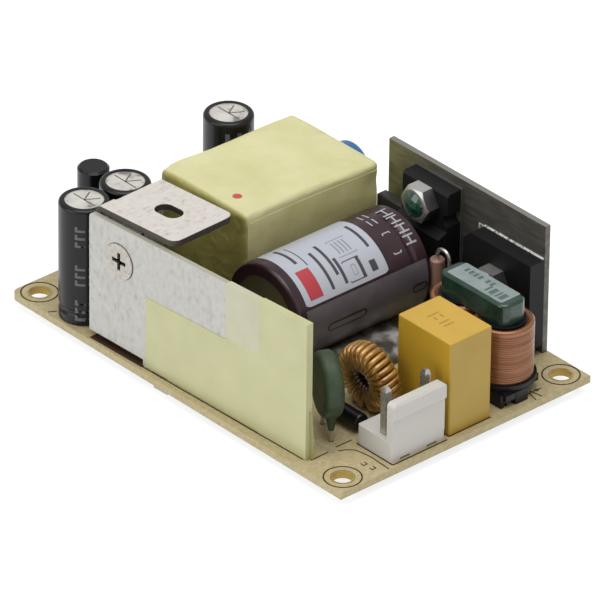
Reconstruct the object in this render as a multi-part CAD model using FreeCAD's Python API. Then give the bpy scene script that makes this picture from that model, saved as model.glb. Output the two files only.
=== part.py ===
import FreeCAD, Part
import math
import os

V = FreeCAD.Vector
UP = V(0, 0, 1)

# Open frame power supply, 3 x 2 inch class, in millimetres.
# Layout frame: X along the board's long edge, Y across it, Z up, zero at the board's underside corner.
# The finished part is moved so that its origin is the middle of its box, on the ends of its leads.

# Circuit board
BOARD_LENGTH = 76.2
BOARD_WIDTH = 50.8
BOARD_THICK = 1.2
BOARD_CORNER_R = 1.4
MOUNT_HOLE_D = 3.2
MOUNT_INSET = 3.175
SLOT_LENGTH = 5.2
SLOT_WIDTH = 1.0
SLOT_X = 64.7
SLOT_Y = 6.75

# Leads and solder under the board
LEAD_TAIL = 1.6
LEAD_R = 0.3
PIN_R = 0.4
HOLE_GAP = 0.1
SOLDER_HEIGHT = 1.0
SOLDER_FLARE = 0.6
SOLDER_SIDES = 8

# Left heatsink, which stands slightly turned on the board, with everything that it carries
PLATE_TURN = 1.6
PLATE_RIGHT_X = 65.9
PLATE_FACE_Y = 2.25
PLATE_LENGTH = 48.25
PLATE_THICK = 0.85
PLATE_HEIGHT = 23.4
PLATE_TOP_FALL = 1.6
PLATE_RAISE = 1.1
PLATE_RAISE_LENGTH = 12.1
PLATE_CORNER_R = 0.8
LEG_WIDTH = 3.0
LEG_INSET = 2.4
LEG_GAP = 0.15

# Insulating tape on the left heatsink
TAPE_THICK = 0.08
TAPE_START = 12.8
TAPE_HEIGHT = 13.55
WRAP_LENGTH = 17.65
SECOND_WRAP_LENGTH = 10.35

# Mounting bracket behind the left heatsink
BRACKET_THICK = 1.0
BRACKET_START = 0.85
BRACKET_LENGTH = 17.65
BRACKET_REACH = 12.3
BRACKET_TOP = 24.6
BRACKET_DROP = 12.2
BRACKET_FLANGE = 9.8
BRACKET_CORNER_R = 1.5
BRACKET_BEND_R = 0.3
BRACKET_RELIEF = 0.6
BRACKET_STRAP = 3.0
BRACKET_STRAP_LIFT = 0.6
BRACKET_TILT = 3.0
BRACKET_SLOT_LENGTH = 5.1
BRACKET_SLOT_WIDTH = 3.1
BRACKET_SLOT_X = 9.7
BRACKET_SLOT_Y = 6.2

# Screws and nuts
SCREW_D = 3.0
SCREW_GAP = 0.1
HEAD_D = 5.9
HEAD_PROUD = 0.2
HEAD_EDGE = 0.15
HEAD_DEPTH = 0.7
CROSS_LENGTH = 3.0
CROSS_WIDTH = 0.7
CROSS_DEPTH = 0.8
NUT_FLATS = 5.5
NUT_THICK = 2.4
NUT_CHAMFER = 0.35
SCREW_PAST_NUT = 0.3
LEFT_SCREW_X = 6.85
LEFT_SCREW_Z = 17.3
LOCK_R = 2.1
LOCK_HEIGHT = 0.9

# Packages with a screw hole
PACKAGE_WIDTH = 10.2
PACKAGE_THICK = 4.5
PACKAGE_HOLE_DROP = 3.0
PACKAGE_TAB_HEIGHT = 6.6
PACKAGE_BODY_HEIGHT = 9.2
PACKAGE_TAB_THICK = 1.3
PACKAGE_TAB_SET = 1.0
PACKAGE_BEVEL = 0.45
PACKAGE_STEP_FALL = 0.7
FULL_TAB_THICK = 2.7
PACKAGE_LEAD_PITCH = 2.54
PACKAGE_LEAD_WIDTH = 0.8
PACKAGE_LEAD_THICK = 0.5
PACKAGE_LEAD_SET = 2.0
SIDE_NOTCH_R = 1.0
SIDE_NOTCH_LIFT = 1.9

# Right heatsink, at the other long edge
RIGHT_PLATE_X = 31.5
RIGHT_PLATE_LENGTH = 35.2
RIGHT_PLATE_THICK = 1.0
RIGHT_PLATE_HEIGHT = 22.4
RIGHT_PLATE_EDGE = 0.2
RIGHT_LEG_CUT = 0.2
PAD_THICK = 0.25
PAD_MARGIN = 0.2
TRANSISTOR_X = 43.0
TRANSISTOR_SCREW_Z = 18.9

# Bridge rectifier on the right heatsink
BRIDGE_X = 51.8
BRIDGE_WIDTH = 15.0
BRIDGE_HEIGHT = 15.0
BRIDGE_THICK = 2.9
BRIDGE_Z = 2.8
BRIDGE_CHAMFER = 1.6
BRIDGE_SCREW_Z = 11.6
BRIDGE_LEAD_PITCH = 3.8
COMPOUND_THICK = 0.15
COMPOUND_BEAD = 0.25
COMPOUND_INSET = 0.3

# Transformer
CORE_X = 12.45
CORE_LENGTH = 18.8
CORE_Y = 20.45
CORE_DEPTH = 26.15
CORE_HEIGHT = 17.3
CORE_WIDTH = 11.4
CORE_LIMB = 4.2
CORE_CENTRE = 6.6
WRAP_THICK = 0.35
WRAP_ROUND = 0.9
BOBBIN_BASE = 1.6
BOBBIN_STAND = 0.4
BOBBIN_FOOT = 2.0
BOBBIN_PINS = 5
BOBBIN_PIN_PITCH = 3.6
BOBBIN_PIN_INSET = 1.6
WINDING_GAP = 0.3

# Bulk capacitor, lying across the board
BULK_D = 16.8
BULK_LENGTH = 26.3
BULK_X = 41.15
BULK_FAR_Y = 42.0
BULK_LIFT = 0.1
BULK_LEAD_PITCH = 7.5
BULK_LEAD_REACH = 1.3
BULK_LEAD_BEND = 0.9
BULK_RIM = 2.0
BULK_CRIMP = 2.6
BULK_CRIMP_DEPTH = 0.15

# Output capacitors
CAP_D = 8.0
CAP_HEIGHT = 20.2
CAP_STAND = 0.2
CAP_PITCH = 3.5
CAP_RIM = 0.95
CAP_CRIMP = 1.9
SLEEVE_THICK = 0.2
CRIMP_DEPTH = 0.35
CRIMP_WIDTH = 0.7
VENT_WIDTH = 0.2
VENT_DEPTH = 0.12
VENT_REACH = 2.5
VENT_ANGLES = (0, 60, 120)
CAN_EDGE = 0.6
OUTPUT_CAPS = {"output_capacitor_front": (12.4, 4.4), "output_capacitor_middle": (12.3, 12.7),
               "output_capacitor_rear": (6.9, 38.4)}

# Output filter choke, a rod core in a black sleeve
ROD_D = 5.0
ROD_HEIGHT = 18.4
ROD_X = 3.4
ROD_Y = 13.9
ROD_PITCH = 2.5
ROD_CHAMFER = 0.35

# Interference capacitor, the yellow box
BOX_CAP_X = 63.1
BOX_CAP_Y = 22.9
BOX_CAP_LENGTH = 11.8
BOX_CAP_WIDTH = 8.4
BOX_CAP_HEIGHT = 16.1
BOX_CAP_PITCH = 10.0
BOX_CAP_FOOT = 0.4
BOX_CAP_SKIRT = 0.45
BOX_CAP_ROUND = 0.35

# Line filter choke with two windings
CHOKE_X = 64.9
CHOKE_Y = 38.6
CHOKE_LEG_PITCH = 9.6
CHOKE_BAR_WIDTH = 5.0
CHOKE_BAR_HEIGHT = 3.6
CHOKE_BAR_LENGTH = 14.8
CHOKE_TOP = 17.2
CHOKE_LEG_D = 5.0
CHOKE_COIL_R = 4.72
CHOKE_COIL_FLOOR = 4.2
CHOKE_COIL_HEIGHT = 9.2
CHOKE_FLANGE = 0.6
CHOKE_TOP_FLANGE = 0.2
CHOKE_BASE_ROUND = 2.8
CHOKE_BORE_WALL = 0.5
CHOKE_BASE_LENGTH = 20.0
CHOKE_BASE_WIDTH = 8.6
CHOKE_BASE_FLOOR = 1.7
CHOKE_BAR_ROUND = 1.5
CHOKE_BAR_RIM = 0.6
CHOKE_LOWER_INSET = 0.3
CHOKE_TOP_FLANGE_R = 3.5
CHOKE_GAP = 0.1
CHOKE_NOTCH_LENGTH = 3.2
CHOKE_NOTCH_DEPTH = 0.9
CHOKE_NOTCH_HEIGHT = 1.0
CHOKE_PIN_INSET = 1.1

# Toroid choke
TOROID_X = 61.4
TOROID_Y = 18.9
TOROID_R = 5.3
TOROID_WIDTH = 4.2
TOROID_HOLE_R = 0.9
TOROID_TURNS = 26
TOROID_WIRE_D = 0.7
TOROID_LIFT = 0.15
TOROID_RIDGE = 0.35
TOROID_CORNER = 0.4
TOROID_SIDE_WALL = 0.95
TOROID_OUTER_WALL = 1.3
TOROID_INNER_WALL = 1.1
TOROID_LEAD_SPREAD = 0.57

# Inrush thermistor, the green disc
DISC_X = 62.1
DISC_Y = 9.75
DISC_Z = 9.7
DISC_R = 5.2
DISC_THICK = 3.2
DISC_EDGE = 1.1
DISC_PITCH = 5.0
DISC_TURN = -27.0
DISC_LEG = 3.0
DISC_LEG_SHARE = 0.45
DISC_ROOT_SHARE = 0.36
DISC_TIP_R = 0.45

# Blue safety capacitor
SAFETY_X = 22.8
SAFETY_GAP = 0.5
SAFETY_Z = 14.8
SAFETY_R = 4.2
SAFETY_THICK = 3.0
SAFETY_EDGE = 1.0
SAFETY_PITCH = 7.0
SAFETY_LEG = 2.0

# Snubber parts beside the transistor
RESISTOR_X = 49.3
RESISTOR_Y = 43.6
RESISTOR_D = 2.4
RESISTOR_LENGTH = 6.4
RESISTOR_TOP = 12.6
RESISTOR_LOOP = 2.7
RESISTOR_LOOP_RISE = 2.0
RESISTOR_LOOP_BEND = 1.3
RESISTOR_ROUND = 0.4
FILM_X = 31.9
FILM_Y = 46.9
FILM_LENGTH = 5.6
FILM_WIDTH = 1.8
FILM_HEIGHT = 13.9
FILM_PITCH = 3.8
FILM_BEVEL = 0.25

# Sleeved fuse lying behind the thermistor
FUSE_X = 58.4
FUSE_Y = 13.8
FUSE_D = 2.8
FUSE_LENGTH = 7.2
FUSE_LIFT = 0.2
FUSE_REACH = 1.4
FUSE_BEND = 0.85
FUSE_ROUND = 0.5

# Board connectors, with a locking wall along one side
CONN_PITCH = 3.96
CONN_END = 1.45
CONN_WIDTH = 7.6
CONN_BASE = 3.4
CONN_WALL_THICK = 1.3
CONN_WALL_HEIGHT = 10.1
CONN_WALL_INSET = 0.15
CONN_LIP = 0.35
CONN_LIP_HEIGHT = 2.6
CONN_WALL_ROUND = 0.7
CONN_NOTCH = 0.35
CONN_NOTCH_WIDTH = 2.0
CONN_PIN = 1.14
CONN_PIN_TOP = 11.5
CONN_PIN_SET = 4.6
CONN_PIN_TAPER = 0.25
CONN_PIN_TIP = 0.7
CONN_CORNER_R = 0.4
INPUT_X = 67.4
INPUT_Y = 11.15
INPUT_WAYS = 3
INPUT_PINS = (0, 2)
OUTPUT_X = 1.0
OUTPUT_Y = 17.8
OUTPUT_WAYS = 4

# Silicone that holds the bulk capacitor
SILICONE_X = 49.8
SILICONE_Y = 18.5
SILICONE_LENGTH = 18.0
SILICONE_WIDTH = 9.2
SILICONE_HEIGHT = 1.9
SILICONE_ROUND = 1.3
SILICONE_CORNER_R = 2.1

# Optocoupler, and chips under the board
OPTO_X = 22.6
OPTO_Y = 15.0
OPTO_LENGTH = 4.6
OPTO_WIDTH = 6.5
OPTO_HEIGHT = 3.5
OPTO_STAND = 0.3
OPTO_PITCH = 2.54
OPTO_ROW = 7.62
CHIP_THICK = 0.9
CHIP_STAND = 0.1
CONTROLLER_X = 36.0
CONTROLLER_Y = 12.5
CONTROLLER_LENGTH = 4.9
CONTROLLER_WIDTH = 3.9
CONTROLLER_LEAD_COUNT = 4
REGULATOR_X = 18.5
REGULATOR_Y = 33.0
REGULATOR_LENGTH = 2.9
REGULATOR_WIDTH = 1.3
REGULATOR_LEAD_COUNT = 2
GULL_REACH = 1.0
GULL_WIDTH = 0.42
GULL_THICK = 0.2
GULL_PITCH = 1.27
SMALL_GULL_PITCH = 1.9
PASSIVE_LENGTH = 2.0
PASSIVE_WIDTH = 1.25
RESISTOR_THICK = 0.5
CERAMIC_THICK = 0.8
CHIP_RESISTORS = ((28.0, 9.0), (31.0, 9.0), (34.5, 6.5), (45.0, 9.5), (48.5, 9.5),
                  (22.5, 28.0), (22.5, 38.0), (26.0, 40.5))
CHIP_CERAMICS = ((41.5, 14.5), (36.0, 18.5), (25.5, 35.0), (52.0, 12.5))

BOARD_TOP = BOARD_THICK
PAST = 1.0  # how far a cutting shape runs past what it cuts
pins = []  # x, y, radius of each lead through the board
slots = []  # x, y, thickness of each heatsink leg, and whether it turns with the left heatsink


def box(x0, x1, y0, y1, z0, z1):
    return Part.makeBox(x1 - x0, y1 - y0, z1 - z0, V(x0, y0, z0))


def cylinder(x, y, z0, z1, r):
    return Part.makeCylinder(r, z1 - z0, V(x, y, z0), UP)


def y_cylinder(x, z, y0, y1, r):
    return Part.makeCylinder(r, y1 - y0, V(x, y0, z), V(0, 1, 0))


def upright_edges(shape):
    return [e for e in shape.Edges if abs(e.Vertexes[0].Z - e.Vertexes[1].Z) > 0.5]


def edges_above(shape, z):
    return [e for e in shape.Edges if min(v.Z for v in e.Vertexes) > z]


def circle_edges(shape):
    return [e for e in shape.Edges if e.Closed]


def clamp_bore(x, z, y0, y1):
    """The clearance hole of a clamping screw along Y."""
    return y_cylinder(x, z, y0 - PAST, y1 + PAST, SCREW_D / 2 + SCREW_GAP)


def extruded(points, direction):
    wire = Part.makePolygon(points + [points[0]])
    return Part.Face(wire).extrude(direction)


def revolved(path):
    """A solid turned about the Z axis from a path of (r, z) points; a triple of points is an arc."""
    edges = []
    at = None
    for item in path:
        if at is None:
            at = V(item[0], 0, item[1])
            first = at
            continue
        if len(item) == 4:
            middle = V(item[0], 0, item[1])
            end = V(item[2], 0, item[3])
            edges.append(Part.Arc(at, middle, end).toShape())
        else:
            end = V(item[0], 0, item[1])
            edges.append(Part.makeLine(at, end))
        at = end
    edges.append(Part.makeLine(at, first))
    return Part.Face(Part.Wire(edges)).revolve(V(0, 0, 0), UP, 360)


def moved(shape, x, y, z):
    copy = shape.copy()
    copy.translate(V(x, y, z))
    return copy


def turned(shape):
    """Turns a shape on the board with the left heatsink."""
    copy = shape.copy()
    copy.rotate(TURN_POINT, UP, PLATE_TURN)
    return copy


def add_pin(x, y, r, z_top):
    """A round lead from z_top to the board's underside; its hole and its solder follow from the list."""
    pins.append((x, y, r))
    return cylinder(x, y, 0, z_top, r)


def bent_wire(points, radius, bend):
    """A round wire through points, with a tangent arc of radius bend at each inner point."""
    edges = []
    at = points[0]
    for before, corner, after in zip(points, points[1:], points[2:]):
        inward = (before - corner).normalize()
        outward = (after - corner).normalize()
        half = inward.getAngle(outward) / 2
        cut = bend / math.tan(half)
        start = corner + inward * cut
        end = corner + outward * cut
        centre = corner + (inward + outward).normalize() * (bend / math.sin(half))
        middle = centre + (corner - centre).normalize() * bend
        edges.append(Part.makeLine(at, start))
        edges.append(Part.Arc(start, middle, end).toShape())
        at = end
    edges.append(Part.makeLine(at, points[-1]))
    path = Part.Wire(edges)
    ring = Part.Wire(Part.makeCircle(radius, points[0], points[1] - points[0]))
    return path.makePipeShell([ring], True, True)


def hexagon_nut(x, seat_y, z, outward):
    """A hexagon nut on the face at seat_y, flats up and down, its free end chamfered."""
    corner_r = NUT_FLATS / math.sqrt(3)
    points = []
    for i in range(6):
        a = math.radians(60 * i)
        points.append(V(x + corner_r * math.cos(a), seat_y, z + corner_r * math.sin(a)))
    nut = extruded(points, V(0, outward * NUT_THICK, 0))
    way = V(0, outward, 0)
    c = NUT_CHAMFER
    blank = Part.makeCylinder(corner_r, NUT_THICK - c, V(x, seat_y, z), way)
    cone = Part.makeCone(corner_r, corner_r - 2 * c, c, V(x, seat_y + outward * (NUT_THICK - c), z), way)
    bore = Part.makeCylinder(SCREW_D / 2, NUT_THICK, V(x, seat_y, z), way)
    return nut.common(blank.fuse(cone)).cut(bore)


def flat_screw(x, face_y, z, inward, length):
    """A flat head screw along Y, its head proud of face_y, running inward by length from the face."""
    way = V(0, inward, 0)
    rim = Part.makeCylinder(HEAD_D / 2, HEAD_PROUD + HEAD_EDGE, V(x, face_y - inward * HEAD_PROUD, z), way)
    cone = Part.makeCone(HEAD_D / 2, SCREW_D / 2, HEAD_DEPTH, V(x, face_y + inward * HEAD_EDGE, z), way)
    shank = Part.makeCylinder(SCREW_D / 2, length, V(x, face_y, z), way)
    screw = rim.fuse(cone).fuse(shank)
    start = face_y - inward * HEAD_PROUD
    end = start + inward * CROSS_DEPTH
    low, high = min(start, end), max(start, end)
    for wide, tall in ((CROSS_LENGTH, CROSS_WIDTH), (CROSS_WIDTH, CROSS_LENGTH)):
        screw = screw.cut(box(x - wide / 2, x + wide / 2, low, high, z - tall / 2, z + tall / 2))
    return screw


def screw_seat(x, face_y, z, inward, thick):
    """What a flat head screw takes out of a plate of the given thickness."""
    way = V(0, inward, 0)
    rim_r = HEAD_D / 2 + SCREW_GAP
    bore_r = SCREW_D / 2 + SCREW_GAP
    seat = Part.makeCylinder(rim_r, HEAD_EDGE, V(x, face_y, z), way)
    seat = seat.fuse(Part.makeCone(rim_r, bore_r, HEAD_DEPTH, V(x, face_y + inward * HEAD_EDGE, z), way))
    return seat.fuse(Part.makeCylinder(bore_r, thick + PAST, V(x, face_y, z), way))


# Left heatsink assembly, built square to the board and turned about its right foot at the end
PLATE_LEFT_X = PLATE_RIGHT_X - PLATE_LENGTH
PLATE_BACK_Y = PLATE_FACE_Y + PLATE_THICK
PLATE_TOP = BOARD_TOP + PLATE_HEIGHT
FLANGE_BACK_Y = PLATE_BACK_Y + BRACKET_THICK
LEFT_BOLT_X = PLATE_LEFT_X + LEFT_SCREW_X
TURN_POINT = V(PLATE_RIGHT_X, PLATE_FACE_Y, 0)


def plate_top_at(x):
    return PLATE_TOP - PLATE_TOP_FALL * (PLATE_RIGHT_X - x) / PLATE_LENGTH


def plate_slab(x0, x1, z0, front, back, top_grow):
    """The heatsink's own outline between x0 and x1, from front to back, with its sloping top edge."""
    points = [V(x0, front, z0), V(x1, front, z0), V(x1, front, plate_top_at(x1) + top_grow),
              V(x0, front, plate_top_at(x0) + top_grow)]
    return extruded(points, V(0, back - front, 0))


def leg_starts(left_x, right_x):
    return (left_x + LEG_INSET, right_x - LEG_INSET - LEG_WIDTH)


def make_left_heatsink():
    foot_x = PLATE_LEFT_X + PLATE_RAISE_LENGTH
    low = BOARD_TOP
    plate = plate_slab(PLATE_LEFT_X, PLATE_RIGHT_X, low, PLATE_FACE_Y, PLATE_BACK_Y, 0)
    across = PLATE_THICK / 2
    corners = [e for e in edges_above(plate, low + PAST) if abs(e.Vertexes[0].Y - e.Vertexes[1].Y) > across]
    plate = plate.makeFillet(PLATE_CORNER_R, corners)
    plate = plate.cut(box(PLATE_LEFT_X - PAST, foot_x, PLATE_FACE_Y - PAST, PLATE_BACK_Y + PAST,
                          low - PAST, low + PLATE_RAISE))
    for x0 in leg_starts(foot_x, PLATE_RIGHT_X):
        plate = plate.fuse(box(x0, x0 + LEG_WIDTH, PLATE_FACE_Y, PLATE_BACK_Y, 0, low))
        slots.append((x0, PLATE_FACE_Y, PLATE_THICK, True))
    plate = plate.cut(screw_seat(LEFT_BOLT_X, PLATE_FACE_Y, LEFT_SCREW_Z, 1, PLATE_THICK))
    return plate.removeSplitter()


def make_tapes():
    start_x = PLATE_LEFT_X + TAPE_START
    wrap_x = PLATE_RIGHT_X - WRAP_LENGTH
    second_x = PLATE_RIGHT_X - SECOND_WRAP_LENGTH
    t = TAPE_THICK
    low = BOARD_TOP + t
    drop = PLATE_TOP_FALL * (PLATE_RIGHT_X - start_x) / PLATE_LENGTH
    face = PLATE_FACE_Y
    points = [V(start_x, face - t, low), V(PLATE_RIGHT_X, face - t, low),
              V(PLATE_RIGHT_X, face - t, low + TAPE_HEIGHT), V(start_x, face - t, low + TAPE_HEIGHT - drop)]
    strip = extruded(points, V(0, t, 0))
    bare = plate_slab(PLATE_LEFT_X, PLATE_RIGHT_X, BOARD_TOP, face, PLATE_BACK_Y, 0)
    first = plate_slab(wrap_x, PLATE_RIGHT_X, low, face - 2 * t, PLATE_BACK_Y + t, t).cut(bare).cut(strip)
    outer = plate_slab(second_x, PLATE_RIGHT_X + t, low, face - 3 * t, PLATE_BACK_Y + 2 * t, 2 * t)
    second = outer.cut(bare).cut(strip).cut(first)
    return strip, first, second


def make_bracket():
    """A flat tab folded down at its left edge into a strap, which folds again into the clamped flange."""
    x0 = PLATE_LEFT_X + BRACKET_START
    y0 = PLATE_BACK_Y
    t = BRACKET_THICK
    top = BRACKET_TOP
    outer_r = BRACKET_BEND_R + t
    bend_x, bend_y, bend_z = x0 + outer_r, y0 + outer_r, top - outer_r
    strap_y = y0 + BRACKET_STRAP
    strap_floor = LEFT_SCREW_Z + PACKAGE_HOLE_DROP + BRACKET_STRAP_LIFT
    flange_top = top - t - BRACKET_RELIEF
    tab = box(bend_x, x0 + BRACKET_LENGTH, y0, y0 + BRACKET_REACH, top - t, top)
    right = [e for e in upright_edges(tab) if e.Vertexes[0].X > bend_x + PAST]
    tab = tab.makeFillet(BRACKET_CORNER_R, right)
    upper_fold = y_cylinder(bend_x, bend_z, y0, strap_y, outer_r)
    upper_fold = upper_fold.cut(y_cylinder(bend_x, bend_z, y0, strap_y, BRACKET_BEND_R))
    upper_fold = upper_fold.common(box(x0, bend_x, y0, strap_y, bend_z, top))
    lower_fold = cylinder(bend_x, bend_y, strap_floor, flange_top, outer_r)
    lower_fold = lower_fold.cut(cylinder(bend_x, bend_y, strap_floor, flange_top, BRACKET_BEND_R))
    lower_fold = lower_fold.common(box(x0, bend_x, y0, bend_y, strap_floor, flange_top))
    bracket = tab.fuse(upper_fold).fuse(lower_fold)
    bracket = bracket.fuse(box(x0, x0 + t, y0, strap_y, flange_top, bend_z))
    bracket = bracket.fuse(box(x0, x0 + t, bend_y, strap_y, strap_floor, flange_top))
    bracket = bracket.fuse(box(bend_x, x0 + BRACKET_FLANGE, y0, y0 + t, BRACKET_DROP, flange_top))
    half = (BRACKET_SLOT_LENGTH - BRACKET_SLOT_WIDTH) / 2
    slot_x = x0 + BRACKET_SLOT_X
    slot_y = y0 + BRACKET_SLOT_Y
    slot_r = BRACKET_SLOT_WIDTH / 2
    low, high = top - t - PAST, top + PAST
    slot = box(slot_x - half, slot_x + half, slot_y - slot_r, slot_y + slot_r, low, high)
    for side in (-half, half):
        slot = slot.fuse(cylinder(slot_x + side, slot_y, low, high, slot_r))
    bracket = bracket.cut(slot).cut(clamp_bore(LEFT_BOLT_X, LEFT_SCREW_Z, y0, FLANGE_BACK_Y)).removeSplitter()
    # The photographed bracket sits a little turned on its screw, its free end up.
    bracket.rotate(V(LEFT_BOLT_X, y0, LEFT_SCREW_Z), V(0, 1, 0), -BRACKET_TILT)
    return bracket


def package_leads(x, y, z_top, turn):
    """Three flat leads under a package; their holes in the board are round."""
    leads = []
    for i in (-1, 0, 1):
        lx = x + i * PACKAGE_LEAD_PITCH
        lead = box(lx - PACKAGE_LEAD_WIDTH / 2, lx + PACKAGE_LEAD_WIDTH / 2,
                   y - PACKAGE_LEAD_THICK / 2, y + PACKAGE_LEAD_THICK / 2, 0, z_top)
        at = V(lx, y, 0)
        if turn:
            lead = turned(lead)
            at = FreeCAD.Rotation(UP, PLATE_TURN).multVec(at - TURN_POINT) + TURN_POINT
        pins.append((at.x, at.y, math.hypot(PACKAGE_LEAD_WIDTH, PACKAGE_LEAD_THICK) / 2))
        leads.append(lead)
    return leads


def make_rectifier():
    """Output rectifier: a metal tab with a moulded body in front of it, on the bracket's flange."""
    y0 = FLANGE_BACK_Y
    top = LEFT_SCREW_Z + PACKAGE_HOLE_DROP
    step = top - PACKAGE_TAB_HEIGHT
    floor = step - PACKAGE_BODY_HEIGHT
    x0 = LEFT_BOLT_X - PACKAGE_WIDTH / 2
    x1 = x0 + PACKAGE_WIDTH
    tab = box(x0, x1, y0, y0 + PACKAGE_TAB_THICK, floor + PACKAGE_TAB_SET, top)
    tab = tab.cut(clamp_bore(LEFT_BOLT_X, LEFT_SCREW_Z, y0, y0 + PACKAGE_THICK))
    body = box(x0, x1, y0, y0 + PACKAGE_THICK, floor, step)
    front = [e for e in body.Edges if min(v.Y for v in e.Vertexes) > y0]
    body = body.makeChamfer(PACKAGE_BEVEL, front).cut(tab)
    leads = package_leads(LEFT_BOLT_X, y0 + PACKAGE_THICK - PACKAGE_LEAD_SET, floor, True)
    return tab, body, leads


# Right heatsink and what is screwed to it
RIGHT_FACE_Y = BOARD_WIDTH - RIGHT_PLATE_EDGE
RIGHT_INNER_Y = RIGHT_FACE_Y - RIGHT_PLATE_THICK
RIGHT_TOP = BOARD_TOP + RIGHT_PLATE_HEIGHT
BRIDGE_BACK_Y = RIGHT_INNER_Y - COMPOUND_THICK
BRIDGE_SCREW_X = BRIDGE_X + BRIDGE_WIDTH / 2
TRANSISTOR_BACK_Y = RIGHT_INNER_Y - PAD_THICK


def make_right_heatsink():
    left, right = RIGHT_PLATE_X, RIGHT_PLATE_X + RIGHT_PLATE_LENGTH
    plate = box(left, right, RIGHT_INNER_Y, RIGHT_FACE_Y, BOARD_TOP, RIGHT_TOP)
    for x0 in leg_starts(left, right):
        plate = plate.fuse(box(x0, x0 + LEG_WIDTH, RIGHT_INNER_Y, RIGHT_FACE_Y - RIGHT_LEG_CUT, 0, BOARD_TOP))
        slots.append((x0, RIGHT_INNER_Y, RIGHT_PLATE_THICK - RIGHT_LEG_CUT, False))
    for x, z in ((TRANSISTOR_X, TRANSISTOR_SCREW_Z), (BRIDGE_SCREW_X, BRIDGE_SCREW_Z)):
        plate = plate.cut(screw_seat(x, RIGHT_FACE_Y, z, -1, RIGHT_PLATE_THICK))
    return plate.removeSplitter()


def make_transistor():
    """Fully moulded transistor: a thin top with the screw hole, and a thicker body below a bevelled step."""
    back = TRANSISTOR_BACK_Y
    top = TRANSISTOR_SCREW_Z + PACKAGE_HOLE_DROP
    step = top - PACKAGE_TAB_HEIGHT
    floor = step - PACKAGE_BODY_HEIGHT
    x0 = TRANSISTOR_X - PACKAGE_WIDTH / 2
    thin = back - FULL_TAB_THICK
    thick = back - PACKAGE_THICK
    b = PACKAGE_BEVEL
    profile = [V(x0, back, floor), V(x0, back, top), V(x0, thin + b, top), V(x0, thin, top - b),
               V(x0, thin, step), V(x0, thick, step - PACKAGE_STEP_FALL), V(x0, thick, floor + b),
               V(x0, thick + b, floor)]
    body = extruded(profile, V(PACKAGE_WIDTH, 0, 0))
    for x in (x0, x0 + PACKAGE_WIDTH):
        body = body.cut(y_cylinder(x, step + SIDE_NOTCH_LIFT, thick - PAST, back + PAST, SIDE_NOTCH_R))
    bore = clamp_bore(TRANSISTOR_X, TRANSISTOR_SCREW_Z, thick, RIGHT_INNER_Y)
    body = body.cut(bore)
    m = PAD_MARGIN
    pad = box(x0 - m, x0 + PACKAGE_WIDTH + m, back, RIGHT_INNER_Y, floor - m, top + m)
    pad = pad.cut(bore)
    leads = package_leads(TRANSISTOR_X, back - PACKAGE_THICK + PACKAGE_LEAD_SET, floor, False)
    return body, pad, leads


def make_bridge():
    """Bridge rectifier block with one cut corner, bedded in compound that squeezes out along its top."""
    back = BRIDGE_BACK_Y
    front = back - BRIDGE_THICK
    x0, x1 = BRIDGE_X, BRIDGE_X + BRIDGE_WIDTH
    top = BRIDGE_Z + BRIDGE_HEIGHT
    profile = [V(x0, front, BRIDGE_Z), V(x1, front, BRIDGE_Z), V(x1, front, top),
               V(x0 + BRIDGE_CHAMFER, front, top), V(x0, front, top - BRIDGE_CHAMFER)]
    body = extruded(profile, V(0, BRIDGE_THICK, 0))
    bore = clamp_bore(BRIDGE_SCREW_X, BRIDGE_SCREW_Z, front, RIGHT_INNER_Y)
    body = body.cut(bore)
    inset = COMPOUND_INSET
    sheet = box(x0 + inset, x1 - inset, back, RIGHT_INNER_Y, BRIDGE_Z + inset, top).cut(bore)
    bead_x0 = x0 + BRIDGE_CHAMFER
    bead_x1 = x1 - inset
    bead = Part.makeCylinder(COMPOUND_BEAD, bead_x1 - bead_x0, V(bead_x0, RIGHT_INNER_Y, top), V(1, 0, 0))
    bead = bead.common(box(bead_x0, bead_x1, back - PAST, RIGHT_INNER_Y, top, top + PAST))
    compound = sheet.fuse(bead).removeSplitter()
    leads = []
    for i in range(4):
        lx = BRIDGE_SCREW_X + (i - 1.5) * BRIDGE_LEAD_PITCH
        leads.append(add_pin(lx, (front + back) / 2, PIN_R, BRIDGE_Z))
    return body, compound, leads


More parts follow.
